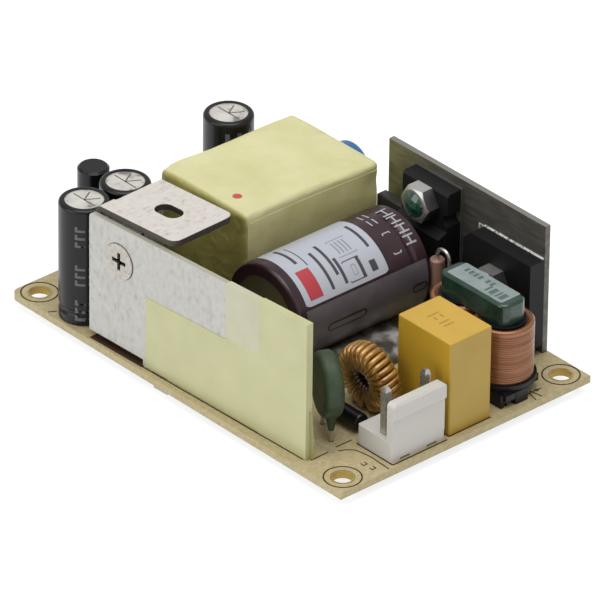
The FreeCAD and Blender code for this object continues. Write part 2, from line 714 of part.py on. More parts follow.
def make_transformer():
    """Two E shaped ferrite halves, the winding round their middle limb, and tape over all."""
    x0, x1 = CORE_X, CORE_X + CORE_LENGTH
    y0, y1 = CORE_Y, CORE_Y + CORE_DEPTH
    base_z0 = BOARD_TOP + BOBBIN_STAND
    z0 = base_z0 + BOBBIN_BASE
    z1 = z0 + CORE_HEIGHT
    xm, ym = (x0 + x1) / 2, (y0 + y1) / 2
    half_x = CORE_WIDTH / 2
    mid = CORE_CENTRE / 2
    core = box(xm - half_x, xm + half_x, y0, y1, z0, z1)
    for a, b in ((y0 + CORE_LIMB, ym - mid), (ym + mid, y1 - CORE_LIMB)):
        core = core.cut(box(x0, x1, a, b, z0 + CORE_LIMB, z1 - CORE_LIMB))
    g = WINDING_GAP
    inset = CORE_LIMB + g
    coil = box(x0 + g, x1 - g, y0 + inset, y1 - inset, z0 + inset, z1 - inset)
    coil = coil.cut(box(xm - half_x - g, xm + half_x + g, ym - mid - g, ym + mid + g, z0, z1))
    t = WRAP_THICK
    shell = box(x0 - t, x1 + t, y0 - t, y1 + t, z0, z1 + t)
    shell = shell.makeFillet(WRAP_ROUND, upright_edges(shell))
    shell = shell.makeFillet(t, edges_above(shell, z1))
    wrap = shell.cut(box(x0, x1, y0, y1, z0 - PAST, z1))
    base = box(x0, x1, y0, y1, base_z0, z0)
    leads = []
    for side_x in (x0 + BOBBIN_PIN_INSET, x1 - BOBBIN_PIN_INSET):
        for i in range(BOBBIN_PINS):
            y = ym + (i - (BOBBIN_PINS - 1) / 2) * BOBBIN_PIN_PITCH
            leads.append(add_pin(side_x, y, PIN_R, base_z0))
    for x in (x0, x1 - BOBBIN_FOOT):
        for y in (y0, y1 - BOBBIN_FOOT):
            base = base.fuse(box(x, x + BOBBIN_FOOT, y, y + BOBBIN_FOOT, BOARD_TOP, base_z0))
    return core, coil, wrap, base.removeSplitter(), leads


def can_profile(r, length, crimp, depth, edge):
    """Half section of a can that stands on z = 0, with a rolled groove near its foot."""
    w = CRIMP_WIDTH
    s = edge * (1 - math.sqrt(0.5))
    return [(0, 0), (r, 0), (r, crimp - w), (r - depth, crimp, r, crimp + w), (r, length - edge),
            (r - s, length - s, r - edge, length), (0, length)]


def make_can(diameter, length, crimp, depth, rim, vents):
    """Aluminium can and its shrink sleeve, standing at the origin."""
    r = diameter / 2
    t = SLEEVE_THICK
    outer = revolved(can_profile(r, length, crimp, depth, CAN_EDGE))
    can = revolved(can_profile(r - t, length - t, crimp, depth, CAN_EDGE - t / 2))
    sleeve = outer.cut(can).cut(cylinder(0, 0, length - t, length + PAST, r - rim))
    for angle in vents:
        start = -VENT_REACH if angle == vents[0] else 0
        score = box(start, VENT_REACH, -VENT_WIDTH / 2, VENT_WIDTH / 2, length - t - VENT_DEPTH, length)
        score.rotate(V(0, 0, 0), UP, angle)
        can = can.cut(score)
    return can, sleeve


def make_output_capacitors():
    parts = {}
    leads = []
    z0 = BOARD_TOP + CAP_STAND
    for name, (x, y) in OUTPUT_CAPS.items():
        can, sleeve = make_can(CAP_D, CAP_HEIGHT, CAP_CRIMP, CRIMP_DEPTH, CAP_RIM, VENT_ANGLES)
        parts[name] = moved(can, x, y, z0)
        parts[name + "_sleeve"] = moved(sleeve, x, y, z0)
        for side in (-0.5, 0.5):
            leads.append(add_pin(x, y + side * CAP_PITCH, LEAD_R, z0))
    return parts, leads


def make_bulk_capacitor():
    """The can lies along Y: its plain end looks at the left heatsink, its leads come out of the far end."""
    can, sleeve = make_can(BULK_D, BULK_LENGTH, BULK_CRIMP, BULK_CRIMP_DEPTH, BULK_RIM, ())
    r = BULK_D / 2
    far = BULK_FAR_Y
    axis_z = BOARD_TOP + BULK_LIFT + r
    parts = []
    for shape in (can, sleeve):
        shape.rotate(V(0, 0, 0), V(1, 0, 0), 90)
        parts.append(moved(shape, BULK_X, far, axis_z))
    leads = []
    for side in (-0.5, 0.5):
        x = BULK_X + side * BULK_LEAD_PITCH
        y = far + BULK_LEAD_REACH
        wire = bent_wire([V(x, far, axis_z), V(x, y, axis_z), V(x, y, 0)], PIN_R, BULK_LEAD_BEND)
        pins.append((x, y, PIN_R))
        leads.append(wire)
    return parts[0], parts[1], leads


def make_rod_choke():
    z0 = BOARD_TOP + CAP_STAND
    r = ROD_D / 2
    c = ROD_CHAMFER
    top = ROD_HEIGHT
    body = revolved([(0, 0), (r - c / 2, 0), (r, c / 2), (r, top - c), (r - c, top), (0, top)])
    leads = [add_pin(ROD_X, ROD_Y + side * ROD_PITCH, LEAD_R, z0) for side in (-0.5, 0.5)]
    return moved(body, ROD_X, ROD_Y, z0), leads


def make_box_capacitor():
    x0, x1 = BOX_CAP_X, BOX_CAP_X + BOX_CAP_LENGTH
    y0, y1 = BOX_CAP_Y, BOX_CAP_Y + BOX_CAP_WIDTH
    z0 = BOARD_TOP
    body = box(x0, x1, y0, y1, z0, z0 + BOX_CAP_HEIGHT)
    body = body.makeFillet(BOX_CAP_ROUND, upright_edges(body))
    body = body.makeFillet(BOX_CAP_ROUND, edges_above(body, z0))
    f = BOX_CAP_FOOT
    w = BOX_CAP_SKIRT
    body = body.cut(box(x0 + w, x1 - w, y0 + w, y1 - w, z0 - PAST, z0 + f))
    ym = (y0 + y1) / 2
    xm = (x0 + x1) / 2
    leads = [add_pin(xm + side * BOX_CAP_PITCH, ym, PIN_R, z0 + f) for side in (-0.5, 0.5)]
    return body, leads


def choke_leg_centres():
    return (CHOKE_X - CHOKE_LEG_PITCH / 2, CHOKE_X + CHOKE_LEG_PITCH / 2)


def make_choke():
    """Two U cores face each other: a bar above and below, and a round leg in each winding."""
    half = CHOKE_BAR_LENGTH / 2
    w = CHOKE_BAR_WIDTH / 2
    top = CHOKE_TOP
    bar_floor = top - CHOKE_BAR_HEIGHT
    coil_z0 = CHOKE_COIL_FLOOR
    coil_z1 = coil_z0 + CHOKE_COIL_HEIGHT
    flange = CHOKE_FLANGE
    bar = box(CHOKE_X - half, CHOKE_X + half, CHOKE_Y - w, CHOKE_Y + w, bar_floor, top)
    bar = bar.makeFillet(CHOKE_BAR_ROUND, upright_edges(bar))
    bar = bar.makeFillet(CHOKE_BAR_RIM, edges_above(bar, bar_floor))
    leg_floor = coil_z0 - flange
    core = bar
    for x in choke_leg_centres():
        core = core.fuse(cylinder(x, CHOKE_Y, leg_floor, bar_floor, CHOKE_LEG_D / 2))
    low_half = half - CHOKE_LOWER_INSET
    lower = box(CHOKE_X - low_half, CHOKE_X + low_half, CHOKE_Y - w, CHOKE_Y + w, CHOKE_BASE_FLOOR, leg_floor)
    core = core.fuse(lower).removeSplitter()
    windings = []
    bobbin = None
    leg_r = CHOKE_LEG_D / 2 + CHOKE_GAP
    bore_r = leg_r + CHOKE_BORE_WALL
    for x in choke_leg_centres():
        ring = cylinder(x, CHOKE_Y, coil_z0, coil_z1, CHOKE_COIL_R)
        windings.append(ring.cut(cylinder(x, CHOKE_Y, coil_z0, coil_z1, bore_r)))
        flange_top = coil_z1 + CHOKE_TOP_FLANGE
        tube = cylinder(x, CHOKE_Y, coil_z0 - flange, flange_top, bore_r)
        tube = tube.fuse(cylinder(x, CHOKE_Y, coil_z0 - flange, coil_z0, CHOKE_COIL_R))
        tube = tube.fuse(cylinder(x, CHOKE_Y, coil_z1, flange_top, CHOKE_TOP_FLANGE_R))
        bobbin = tube if bobbin is None else bobbin.fuse(tube)
    base_l, base_w = CHOKE_BASE_LENGTH / 2, CHOKE_BASE_WIDTH / 2
    base_z0 = BOARD_TOP
    base = box(CHOKE_X - base_l, CHOKE_X + base_l, CHOKE_Y - base_w, CHOKE_Y + base_w, base_z0, leg_floor)
    base = base.makeFillet(CHOKE_BASE_ROUND, upright_edges(base))
    pocket_x, pocket_y = low_half + CHOKE_GAP, w + CHOKE_GAP
    base = base.cut(box(CHOKE_X - pocket_x, CHOKE_X + pocket_x, CHOKE_Y - pocket_y, CHOKE_Y + pocket_y,
                        base_z0 - PAST, coil_z0))
    n = CHOKE_NOTCH_LENGTH / 2
    d = CHOKE_NOTCH_DEPTH
    for x in (CHOKE_X - base_l / 2, CHOKE_X, CHOKE_X + base_l / 2):
        for y in (CHOKE_Y - base_w, CHOKE_Y + base_w):
            base = base.cut(box(x - n, x + n, y - d, y + d, base_z0 - PAST, base_z0 + CHOKE_NOTCH_HEIGHT))
    bobbin = bobbin.fuse(base)
    for x in choke_leg_centres():
        bobbin = bobbin.cut(cylinder(x, CHOKE_Y, base_z0 - PAST, coil_z1 + PAST, leg_r))
    leads = []
    for sx in (-1, 1):
        for sy in (-1, 1):
            x = CHOKE_X + sx * (base_l - CHOKE_PIN_INSET)
            y = CHOKE_Y + sy * (base_w - CHOKE_PIN_INSET)
            leads.append(add_pin(x, y, LEAD_R, base_z0))
    return core, bobbin.removeSplitter(), windings, leads


def make_toroid():
    """Ring core inside its winding; each turn stands out of the winding as a ridge."""
    z = BOARD_TOP + TOROID_LIFT + TOROID_R
    half = TOROID_WIDTH / 2
    mean_r = (TOROID_R + TOROID_HOLE_R) / 2
    band = (TOROID_R - TOROID_HOLE_R) / 2
    ridge = TOROID_WIRE_D * TOROID_RIDGE
    centre = V(TOROID_X, TOROID_Y, z)
    corner = TOROID_CORNER
    outline = ((1, corner), (corner, 1), (-corner, 1), (-1, corner),
               (-1, -corner), (-corner, -1), (corner, -1), (1, -corner))
    sections = []
    steps = TOROID_TURNS * 2
    for i in range(steps):
        shrink = 0 if i % 2 == 0 else ridge
        a = 2 * math.pi * i / steps
        out = V(math.cos(a), 0, math.sin(a))
        points = []
        for u, v in outline:
            points.append(centre + out * (mean_r + u * (band - shrink)) + V(0, v * (half - shrink), 0))
        sections.append(Part.makePolygon(points + [points[0]]))
    winding = Part.makeLoft(sections, True, True, True)
    side = half - TOROID_SIDE_WALL
    core = y_cylinder(TOROID_X, z, TOROID_Y - side, TOROID_Y + side, TOROID_R - TOROID_OUTER_WALL)
    bore_r = TOROID_HOLE_R + TOROID_INNER_WALL
    core = core.cut(y_cylinder(TOROID_X, z, TOROID_Y - half, TOROID_Y + half, bore_r))
    winding = winding.cut(core)
    leads = []
    reach = TOROID_R * TOROID_LEAD_SPREAD
    touch = z - math.sqrt(TOROID_R ** 2 - reach ** 2) - TOROID_LIFT
    for side in (-1, 1):
        leads.append(add_pin(TOROID_X + side * reach, TOROID_Y, TOROID_WIRE_D / 2, touch))
    return core, winding, leads


def make_disc(x, y, z, r, thick, edge, pitch, leg, turn):
    """A dipped disc on edge, turned from facing along Y; its coating runs a little way down two leads."""
    disc = y_cylinder(x, z, y - thick / 2, y + thick / 2, r)
    disc = disc.makeFillet(edge, circle_edges(disc))
    disc.rotate(V(x, y, 0), UP, turn)
    leads = []
    for side in (-0.5, 0.5):
        foot = V(x, y, 0) + FreeCAD.Rotation(UP, turn).multVec(V(side * pitch, 0, 0))
        leg_top = z - math.sqrt(r ** 2 - (pitch / 2) ** 2) + thick / 2
        leg_floor = z - r - leg * DISC_LEG_SHARE
        root_r = thick * DISC_ROOT_SHARE
        cone = Part.makeCone(DISC_TIP_R, root_r, leg_top - leg_floor, V(foot.x, foot.y, leg_floor), UP)
        disc = disc.fuse(cone)
        leads.append(add_pin(foot.x, foot.y, LEAD_R, leg_floor))
    return disc.removeSplitter(), leads


def make_resistor():
    """A small axial resistor stood on end; its upper lead loops over and comes down beside it."""
    z0 = RESISTOR_TOP - RESISTOR_LENGTH
    body = cylinder(RESISTOR_X, RESISTOR_Y, z0, RESISTOR_TOP, RESISTOR_D / 2)
    body = body.makeFillet(RESISTOR_ROUND, circle_edges(body))
    x1 = RESISTOR_X + RESISTOR_LOOP
    loop_z = RESISTOR_TOP + RESISTOR_LOOP_RISE
    route = [V(RESISTOR_X, RESISTOR_Y, RESISTOR_TOP), V(RESISTOR_X, RESISTOR_Y, loop_z),
             V(x1, RESISTOR_Y, loop_z), V(x1, RESISTOR_Y, 0)]
    loop = bent_wire(route, LEAD_R, RESISTOR_LOOP_BEND)
    pins.append((x1, RESISTOR_Y, LEAD_R))
    return body, [loop, add_pin(RESISTOR_X, RESISTOR_Y, LEAD_R, z0)]


def make_film_capacitor():
    z0 = BOARD_TOP
    body = box(FILM_X, FILM_X + FILM_LENGTH, FILM_Y, FILM_Y + FILM_WIDTH, z0, z0 + FILM_HEIGHT)
    body = body.makeChamfer(FILM_BEVEL, edges_above(body, z0))
    xm = FILM_X + FILM_LENGTH / 2
    ym = FILM_Y + FILM_WIDTH / 2
    return body, [add_pin(xm + side * FILM_PITCH, ym, LEAD_R, z0) for side in (-0.5, 0.5)]


def make_fuse():
    """A small fuse in a black sleeve, lying along X, with both leads bent down into the board."""
    z = BOARD_TOP + FUSE_LIFT + FUSE_D / 2
    body = Part.makeCylinder(FUSE_D / 2, FUSE_LENGTH, V(FUSE_X, FUSE_Y, z), V(1, 0, 0))
    body = body.makeFillet(FUSE_ROUND, circle_edges(body))
    leads = []
    for start, reach in ((FUSE_X, -FUSE_REACH), (FUSE_X + FUSE_LENGTH, FUSE_REACH)):
        end = start + reach
        route = [V(start, FUSE_Y, z), V(end, FUSE_Y, z), V(end, FUSE_Y, 0)]
        leads.append(bent_wire(route, LEAD_R, FUSE_BEND))
        pins.append((end, FUSE_Y, LEAD_R))
    return body, leads


def square_pin(x, y, z_top):
    """A square post from the board's underside to z_top, with a tapered tip."""
    half = CONN_PIN / 2
    tip = CONN_PIN_TIP
    post = box(x - half, x + half, y - half, y + half, 0, z_top - tip)
    rings = []
    for z, h in ((z_top - tip, half), (z_top, half - CONN_PIN_TAPER)):
        corners = [V(x - h, y - h, z), V(x + h, y - h, z), V(x + h, y + h, z), V(x - h, y + h, z)]
        rings.append(Part.makePolygon(corners + [corners[0]]))
    return post.fuse(Part.makeLoft(rings, True, True)).removeSplitter()


def make_connector(x0, y0, ways, used):
    """A pin header: low base, and a locking wall along its far side with a thicker lip at the top."""
    x1 = x0 + CONN_WIDTH
    y1 = y0 + 2 * CONN_END + (ways - 1) * CONN_PITCH
    z0 = BOARD_TOP
    base = box(x0, x1, y0, y1, z0, z0 + CONN_BASE)
    base = base.makeFillet(CONN_CORNER_R, upright_edges(base))
    wall_x = x1 - CONN_WALL_THICK
    wall_y0, wall_y1 = y0 + CONN_WALL_INSET, y1 - CONN_WALL_INSET
    top = z0 + CONN_WALL_HEIGHT
    lip_z = top - CONN_LIP_HEIGHT
    low = z0 + CONN_BASE / 2
    side = [V(wall_x, wall_y0, low), V(x1, wall_y0, low), V(x1, wall_y0, lip_z - CONN_LIP),
            V(x1 + CONN_LIP, wall_y0, lip_z), V(x1 + CONN_LIP, wall_y0, top - CONN_LIP),
            V(x1, wall_y0, top), V(wall_x, wall_y0, top)]
    wall = extruded(side, V(0, wall_y1 - wall_y0, 0))
    top_edges = edges_above(wall, top - CONN_LIP / 2)
    corners = [e for e in top_edges if abs(e.Vertexes[0].X - e.Vertexes[1].X) > CONN_LIP]
    wall = wall.makeFillet(CONN_WALL_ROUND, corners)
    housing = base.fuse(wall)
    quarter = (y1 - y0) / 4
    n = CONN_NOTCH_WIDTH / 2
    for y in (y0 + quarter, y1 - quarter):
        housing = housing.cut(box(x0 - PAST, x1 + PAST, y - n, y + n, z0 - PAST, z0 + CONN_NOTCH))
    posts = []
    for i in used:
        x, y = x0 + CONN_PIN_SET, y0 + CONN_END + i * CONN_PITCH
        half = CONN_PIN / 2
        housing = housing.cut(box(x - half, x + half, y - half, y + half, 0, z0 + CONN_BASE + PAST))
        posts.append(square_pin(x, y, z0 + CONN_PIN_TOP))
        pins.append((x, y, CONN_PIN * math.sqrt(0.5)))
    return housing.removeSplitter(), Part.makeCompound(posts)


def make_silicone():
    z0 = BOARD_TOP
    x0, x1 = SILICONE_X - SILICONE_WIDTH / 2, SILICONE_X + SILICONE_WIDTH / 2
    bead = box(x0, x1, SILICONE_Y, SILICONE_Y + SILICONE_LENGTH, z0, z0 + SILICONE_HEIGHT)
    bead = bead.makeFillet(SILICONE_CORNER_R, upright_edges(bead))
    bead = bead.makeFillet(SILICONE_ROUND, edges_above(bead, z0))
    r = BULK_D / 2
    axis_z = z0 + BULK_LIFT + r
    front = BULK_FAR_Y - BULK_LENGTH
    return bead.cut(y_cylinder(BULK_X, axis_z, front - PAST, BULK_FAR_Y + PAST, r))


def make_optocoupler():
    z0 = BOARD_TOP + OPTO_STAND
    half_x, half_y = OPTO_LENGTH / 2, OPTO_WIDTH / 2
    body = box(OPTO_X - half_x, OPTO_X + half_x, OPTO_Y - half_y, OPTO_Y + half_y, z0, z0 + OPTO_HEIGHT)
    middle = z0 + OPTO_HEIGHT / 2
    leads = []
    for sx in (-0.5, 0.5):
        for sy in (-1, 1):
            x = OPTO_X + sx * OPTO_PITCH
            y = OPTO_Y + sy * OPTO_ROW / 2
            inner = OPTO_Y + sy * half_y
            shoulder = box(x - LEAD_R, x + LEAD_R, min(inner, y), max(inner, y), middle - LEAD_R, middle)
            leads.append(shoulder.fuse(add_pin(x, y, LEAD_R, middle)).removeSplitter())
    return body, leads


def chip(x, y, length, width, pitch, count):
    """A flat package under the board, with count gull leads along each long side."""
    top = -CHIP_STAND
    body = box(x - length / 2, x + length / 2, y - width / 2, y + width / 2, top - CHIP_THICK, top)
    feet = []
    for i in range(count):
        fx = x + (i - (count - 1) / 2) * pitch
        for y0 in (y - width / 2 - GULL_REACH, y + width / 2):
            feet.append(box(fx - GULL_WIDTH / 2, fx + GULL_WIDTH / 2, y0, y0 + GULL_REACH, -GULL_THICK, 0))
    return body, feet


def make_passives(places, thick):
    blocks = []
    for x, y in places:
        blocks.append(box(x - PASSIVE_LENGTH / 2, x + PASSIVE_LENGTH / 2,
                          y - PASSIVE_WIDTH / 2, y + PASSIVE_WIDTH / 2, -thick, 0))
    return Part.makeCompound(blocks)


def leg_block(x0, y0, thick, turn, grow, z0, z1):
    block = box(x0 - grow, x0 + LEG_WIDTH + grow, y0 - grow, y0 + thick + grow, z0, z1)
    return turned(block) if turn else block


def make_board():
    board = box(0, BOARD_LENGTH, 0, BOARD_WIDTH, 0, BOARD_THICK)
    left = [e for e in upright_edges(board) if e.Vertexes[0].X < BOARD_CORNER_R]
    board = board.makeFillet(BOARD_CORNER_R, left)
    holes = []
    low, high = -PAST, BOARD_THICK + PAST
    for x in (MOUNT_INSET, BOARD_LENGTH - MOUNT_INSET):
        for y in (MOUNT_INSET, BOARD_WIDTH - MOUNT_INSET):
            holes.append(cylinder(x, y, low, high, MOUNT_HOLE_D / 2))
    for x, y, r in pins:
        holes.append(cylinder(x, y, low, high, r + HOLE_GAP))
    for x0, y0, thick, turn in slots:
        holes.append(leg_block(x0, y0, thick, turn, LEG_GAP, low, high))
    half = (SLOT_LENGTH - SLOT_WIDTH) / 2
    r = SLOT_WIDTH / 2
    holes.append(box(SLOT_X - half, SLOT_X + half, SLOT_Y - r, SLOT_Y + r, low, high))
    holes.append(cylinder(SLOT_X - half, SLOT_Y, low, high, r))
    holes.append(cylinder(SLOT_X + half, SLOT_Y, low, high, r))
    for hole in holes:
        board = board.cut(hole)
    return board


def polygon_ring(x, y, r, z):
    points = []
    for i in range(SOLDER_SIDES):
        a = 2 * math.pi * i / SOLDER_SIDES
        points.append(V(x + r * math.cos(a), y + r * math.sin(a), z))
    return Part.makePolygon(points + [points[0]])


def make_solder():
    """A small fillet of solder under every lead and heatsink leg, with the trimmed end standing out of it."""
    joints = []
    for x, y, r in pins:
        rings = [polygon_ring(x, y, r + SOLDER_FLARE, 0), polygon_ring(x, y, r + HOLE_GAP, -SOLDER_HEIGHT)]
        stub = Part.Face(polygon_ring(x, y, r, -SOLDER_HEIGHT)).extrude(V(0, 0, SOLDER_HEIGHT - LEAD_TAIL))
        joints.append(Part.makeLoft(rings, True, True).fuse(stub))
    for x0, y0, thick, turn in slots:
        wide = leg_block(x0, y0, thick, turn, SOLDER_FLARE / 2, -SOLDER_HEIGHT / 2, 0)
        joints.append(wide.fuse(leg_block(x0, y0, thick, turn, 0, -LEAD_TAIL, -SOLDER_HEIGHT / 2)))
    return Part.makeCompound(joints)


def make_screws():
    left_length = PLATE_THICK + BRACKET_THICK + PACKAGE_TAB_THICK + NUT_THICK + SCREW_PAST_NUT
    left = flat_screw(LEFT_BOLT_X, PLATE_FACE_Y, LEFT_SCREW_Z, 1, left_length)
    left_nut = hexagon_nut(LEFT_BOLT_X, FLANGE_BACK_Y + PACKAGE_TAB_THICK, LEFT_SCREW_Z, 1)
    screws, nuts, ends = [], [], []
    for x, z, seat in ((TRANSISTOR_X, TRANSISTOR_SCREW_Z, TRANSISTOR_BACK_Y - FULL_TAB_THICK),
                       (BRIDGE_SCREW_X, BRIDGE_SCREW_Z, BRIDGE_BACK_Y - BRIDGE_THICK)):
        end = seat - NUT_THICK - SCREW_PAST_NUT
        screws.append(flat_screw(x, RIGHT_FACE_Y, z, -1, RIGHT_FACE_Y - end))
        nuts.append(hexagon_nut(x, seat, z, -1))
        ends.append((x, seat - NUT_THICK, z))
    return left, left_nut, Part.makeCompound(screws), Part.makeCompound(nuts), ends[0]


def make_thread_lock(x, y, z):
    """A drop of thread locking paint over the end of the transistor's screw."""
    ball_r = (LOCK_R ** 2 + LOCK_HEIGHT ** 2) / (2 * LOCK_HEIGHT)
    ball = Part.makeSphere(ball_r, V(x, y + ball_r - LOCK_HEIGHT, z))
    dome = ball.common(box(x - LOCK_R, x + LOCK_R, y - LOCK_HEIGHT, y, z - LOCK_R, z + LOCK_R))
    return dome.cut(y_cylinder(x, z, y - SCREW_PAST_NUT, y, SCREW_D / 2))


shapes = {}
leads = []


def keep(name, shape, on_left_heatsink=False):
    shapes[name] = turned(shape) if on_left_heatsink else shape


keep("left_heatsink", make_left_heatsink(), True)
tape_strip, tape_wrap, tape_end = make_tapes()
keep("heatsink_tape_strip", tape_strip, True)
keep("heatsink_tape_wrap", tape_wrap, True)
keep("heatsink_tape_end", tape_end, True)
keep("mounting_bracket", make_bracket(), True)
rectifier_tab, rectifier_body, some = make_rectifier()
keep("output_rectifier_tab", rectifier_tab, True)
keep("output_rectifier_body", rectifier_body, True)
leads += some
left_screw, left_nut, right_screws, right_nuts, lock_place = make_screws()
keep("bracket_screw", left_screw, True)
keep("bracket_nut", left_nut, True)
keep("heatsink_screws", right_screws)
keep("heatsink_nuts", right_nuts)
keep("thread_lock", make_thread_lock(*lock_place))
keep("right_heatsink", make_right_heatsink())
transistor, pad, some = make_transistor()
keep("switching_transistor", transistor)
keep("transistor_pad", pad)
leads += some
bridge, compound, some = make_bridge()
keep("bridge_rectifier", bridge)
keep("thermal_compound", compound)
leads += some
core, coil, wrap, base, some = make_transformer()
keep("transformer_core", core)
keep("transformer_winding", coil)
keep("transformer_tape", wrap)
keep("transformer_base", base)
leads += some
can, sleeve, some = make_bulk_capacitor()
keep("bulk_capacitor_can", can)
keep("bulk_capacitor_sleeve", sleeve)
leads += some
keep("fixing_silicone", make_silicone())
parts, some = make_output_capacitors()
for name, shape in parts.items():
    keep(name, shape)
leads += some
rod, some = make_rod_choke()
keep("output_filter_choke", rod)
leads += some
body, some = make_box_capacitor()
keep("box_capacitor", body)
leads += some
choke_core, bobbin, windings, some = make_choke()
keep("line_choke_core", choke_core)
keep("line_choke_bobbin", bobbin)
keep("line_choke_winding_left", windings[0])
keep("line_choke_winding_right", windings[1])
leads += some
ring, winding, some = make_toroid()
keep("toroid_core", ring)
keep("toroid_winding", winding)
leads += some
body, some = make_disc(DISC_X, DISC_Y, DISC_Z, DISC_R, DISC_THICK, DISC_EDGE, DISC_PITCH, DISC_LEG, DISC_TURN)
keep("inrush_thermistor", body)
leads += some
safety_y = CORE_Y + CORE_DEPTH + WRAP_THICK + SAFETY_GAP + SAFETY_THICK / 2
body, some = make_disc(SAFETY_X, safety_y, SAFETY_Z, SAFETY_R, SAFETY_THICK, SAFETY_EDGE, SAFETY_PITCH,
                       SAFETY_LEG, 0)
keep("safety_capacitor", body)
leads += some
body, some = make_resistor()
keep("snubber_resistor", body)
leads += some
body, some = make_film_capacitor()
keep("snubber_capacitor", body)
leads += some
body, some = make_fuse()
keep("input_fuse", body)
leads += some
housing, posts = make_connector(INPUT_X, INPUT_Y, INPUT_WAYS, INPUT_PINS)
keep("input_connector", housing)
keep("input_pins", posts)
housing, posts = make_connector(OUTPUT_X, OUTPUT_Y, OUTPUT_WAYS, range(OUTPUT_WAYS))
keep("output_connector", housing)
keep("output_pins", posts)
body, some = make_optocoupler()
keep("optocoupler", body)
leads += some
chip_leads = []
size = (CONTROLLER_LENGTH, CONTROLLER_WIDTH)
body, feet = chip(CONTROLLER_X, CONTROLLER_Y, *size, GULL_PITCH, CONTROLLER_LEAD_COUNT)
keep("controller_chip", body)
chip_leads += feet
size = (REGULATOR_LENGTH, REGULATOR_WIDTH)
body, feet = chip(REGULATOR_X, REGULATOR_Y, *size, SMALL_GULL_PITCH, REGULATOR_LEAD_COUNT)
keep("regulator_chip", body)
chip_leads += feet
keep("chip_leads", Part.makeCompound(chip_leads))
keep("chip_resistors", make_passives(CHIP_RESISTORS, RESISTOR_THICK))
keep("chip_ceramics", make_passives(CHIP_CERAMICS, CERAMIC_THICK))
keep("component_leads", Part.makeCompound(leads))
keep("circuit_board", make_board())
keep("solder_joints", make_solder())

os.makedirs("parts", exist_ok=True)
shift = V(-BOARD_LENGTH / 2, -BOARD_WIDTH / 2, LEAD_TAIL)
for name, shape in shapes.items():
    shape.translate(shift)
    shape.exportStep("parts/" + name + ".step")
print(len(shapes), "nodes")
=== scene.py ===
# %% [markdown]
# # Open frame power supply
# A small mains power supply on a bare board: two heatsinks, a taped transformer, a large capacitor
# lying across the board, three upright ones, a line choke, a ring choke and two pin connectors.
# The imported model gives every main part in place. This lesson gives each a finish, and adds what
# the solids leave out: single turns of wire, creased tape, labels and the ink on the board.

# %% Load the frame
import bpy
import bmesh
import math
from mathutils import Matrix, Vector, noise


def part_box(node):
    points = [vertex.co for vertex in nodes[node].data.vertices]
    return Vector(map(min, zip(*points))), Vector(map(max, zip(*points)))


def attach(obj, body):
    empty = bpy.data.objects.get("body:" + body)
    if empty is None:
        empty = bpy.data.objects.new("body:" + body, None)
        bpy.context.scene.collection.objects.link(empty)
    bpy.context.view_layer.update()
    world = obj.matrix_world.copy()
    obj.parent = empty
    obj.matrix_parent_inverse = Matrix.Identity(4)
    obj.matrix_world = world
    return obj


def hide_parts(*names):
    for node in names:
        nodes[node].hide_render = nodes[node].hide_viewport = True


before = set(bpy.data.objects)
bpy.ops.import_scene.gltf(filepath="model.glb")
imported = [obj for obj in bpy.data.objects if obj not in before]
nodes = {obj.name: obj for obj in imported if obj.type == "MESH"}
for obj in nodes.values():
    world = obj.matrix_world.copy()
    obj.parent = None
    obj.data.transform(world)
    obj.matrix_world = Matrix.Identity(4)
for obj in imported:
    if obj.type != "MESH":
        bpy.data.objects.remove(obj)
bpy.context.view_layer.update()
MM = 0.001
BOARD = (76.2, 50.8)
BOARD_FLOOR = 1.6
BOARD_TOP = 1.2


def at(x, y, z):
    """Board millimetres, counted from the board's near left lower corner, to metres in the row frame."""
    return Vector(((x - BOARD[0] / 2) * MM, (y - BOARD[1] / 2) * MM, (z + BOARD_FLOOR) * MM))


# %% [markdown]
# ## The camera
# The picture was taken from the right end, above and in front, with a long lens: the board's long
# edges stay almost parallel. The numbers come from a fit to the board's four edges and three holes.

# %% Camera at the photograph's angle
YAW, PITCH, ROLL = (math.radians(a) for a in (138.018, 31.283, -0.704))
EYE = Vector((0.85863, -0.77239, 0.71045))
forward = Vector((math.cos(PITCH) * math.cos(YAW), math.cos(PITCH) * math.sin(YAW), -math.sin(PITCH)))
level = Vector((math.sin(YAW), -math.cos(YAW), 0))
down = forward.cross(level)
right = level * math.cos(ROLL) + down * math.sin(ROLL)
up = level * math.sin(ROLL) - down * math.cos(ROLL)
camera = bpy.data.objects.new("camera", bpy.data.cameras.new("camera"))
camera.data.sensor_width = 36
camera.data.lens = 532.24
camera.data.clip_start = 0.05
camera.matrix_world = Matrix.Translation(EYE) @ Matrix((right, up, -forward)).transposed().to_4x4()
bpy.context.scene.collection.objects.link(camera)
bpy.context.scene.camera = camera
bpy.context.scene.view_settings.view_transform = "Standard"
print("camera looks along", [round(v, 3) for v in forward])

# %% [markdown]
# ## Colours and shader nodes
# Colours are written as they look on screen, in hex, and one function turns them into the linear
# values that shaders work in. A second adds any node with its settings and links, so that each
# finish can be read from top to bottom: a pattern, then what it does to colour, gloss or relief.
#
# Patterns are sized in real millimetres. A grain that is finer than about a pixel, a tenth of a
# millimetre here, would vanish or flicker, so it is drawn coarser, and a comment says so.


# %% Helpers for materials
def linear(code):
    """A screen colour such as #C8C5C0 as a linear colour."""
    parts = [int(code[i:i + 2], 16) / 255 for i in (1, 3, 5)]
    return [c / 12.92 if c <= 0.04045 else ((c + 0.055) / 1.055) ** 2.4 for c in parts] + [1.0]


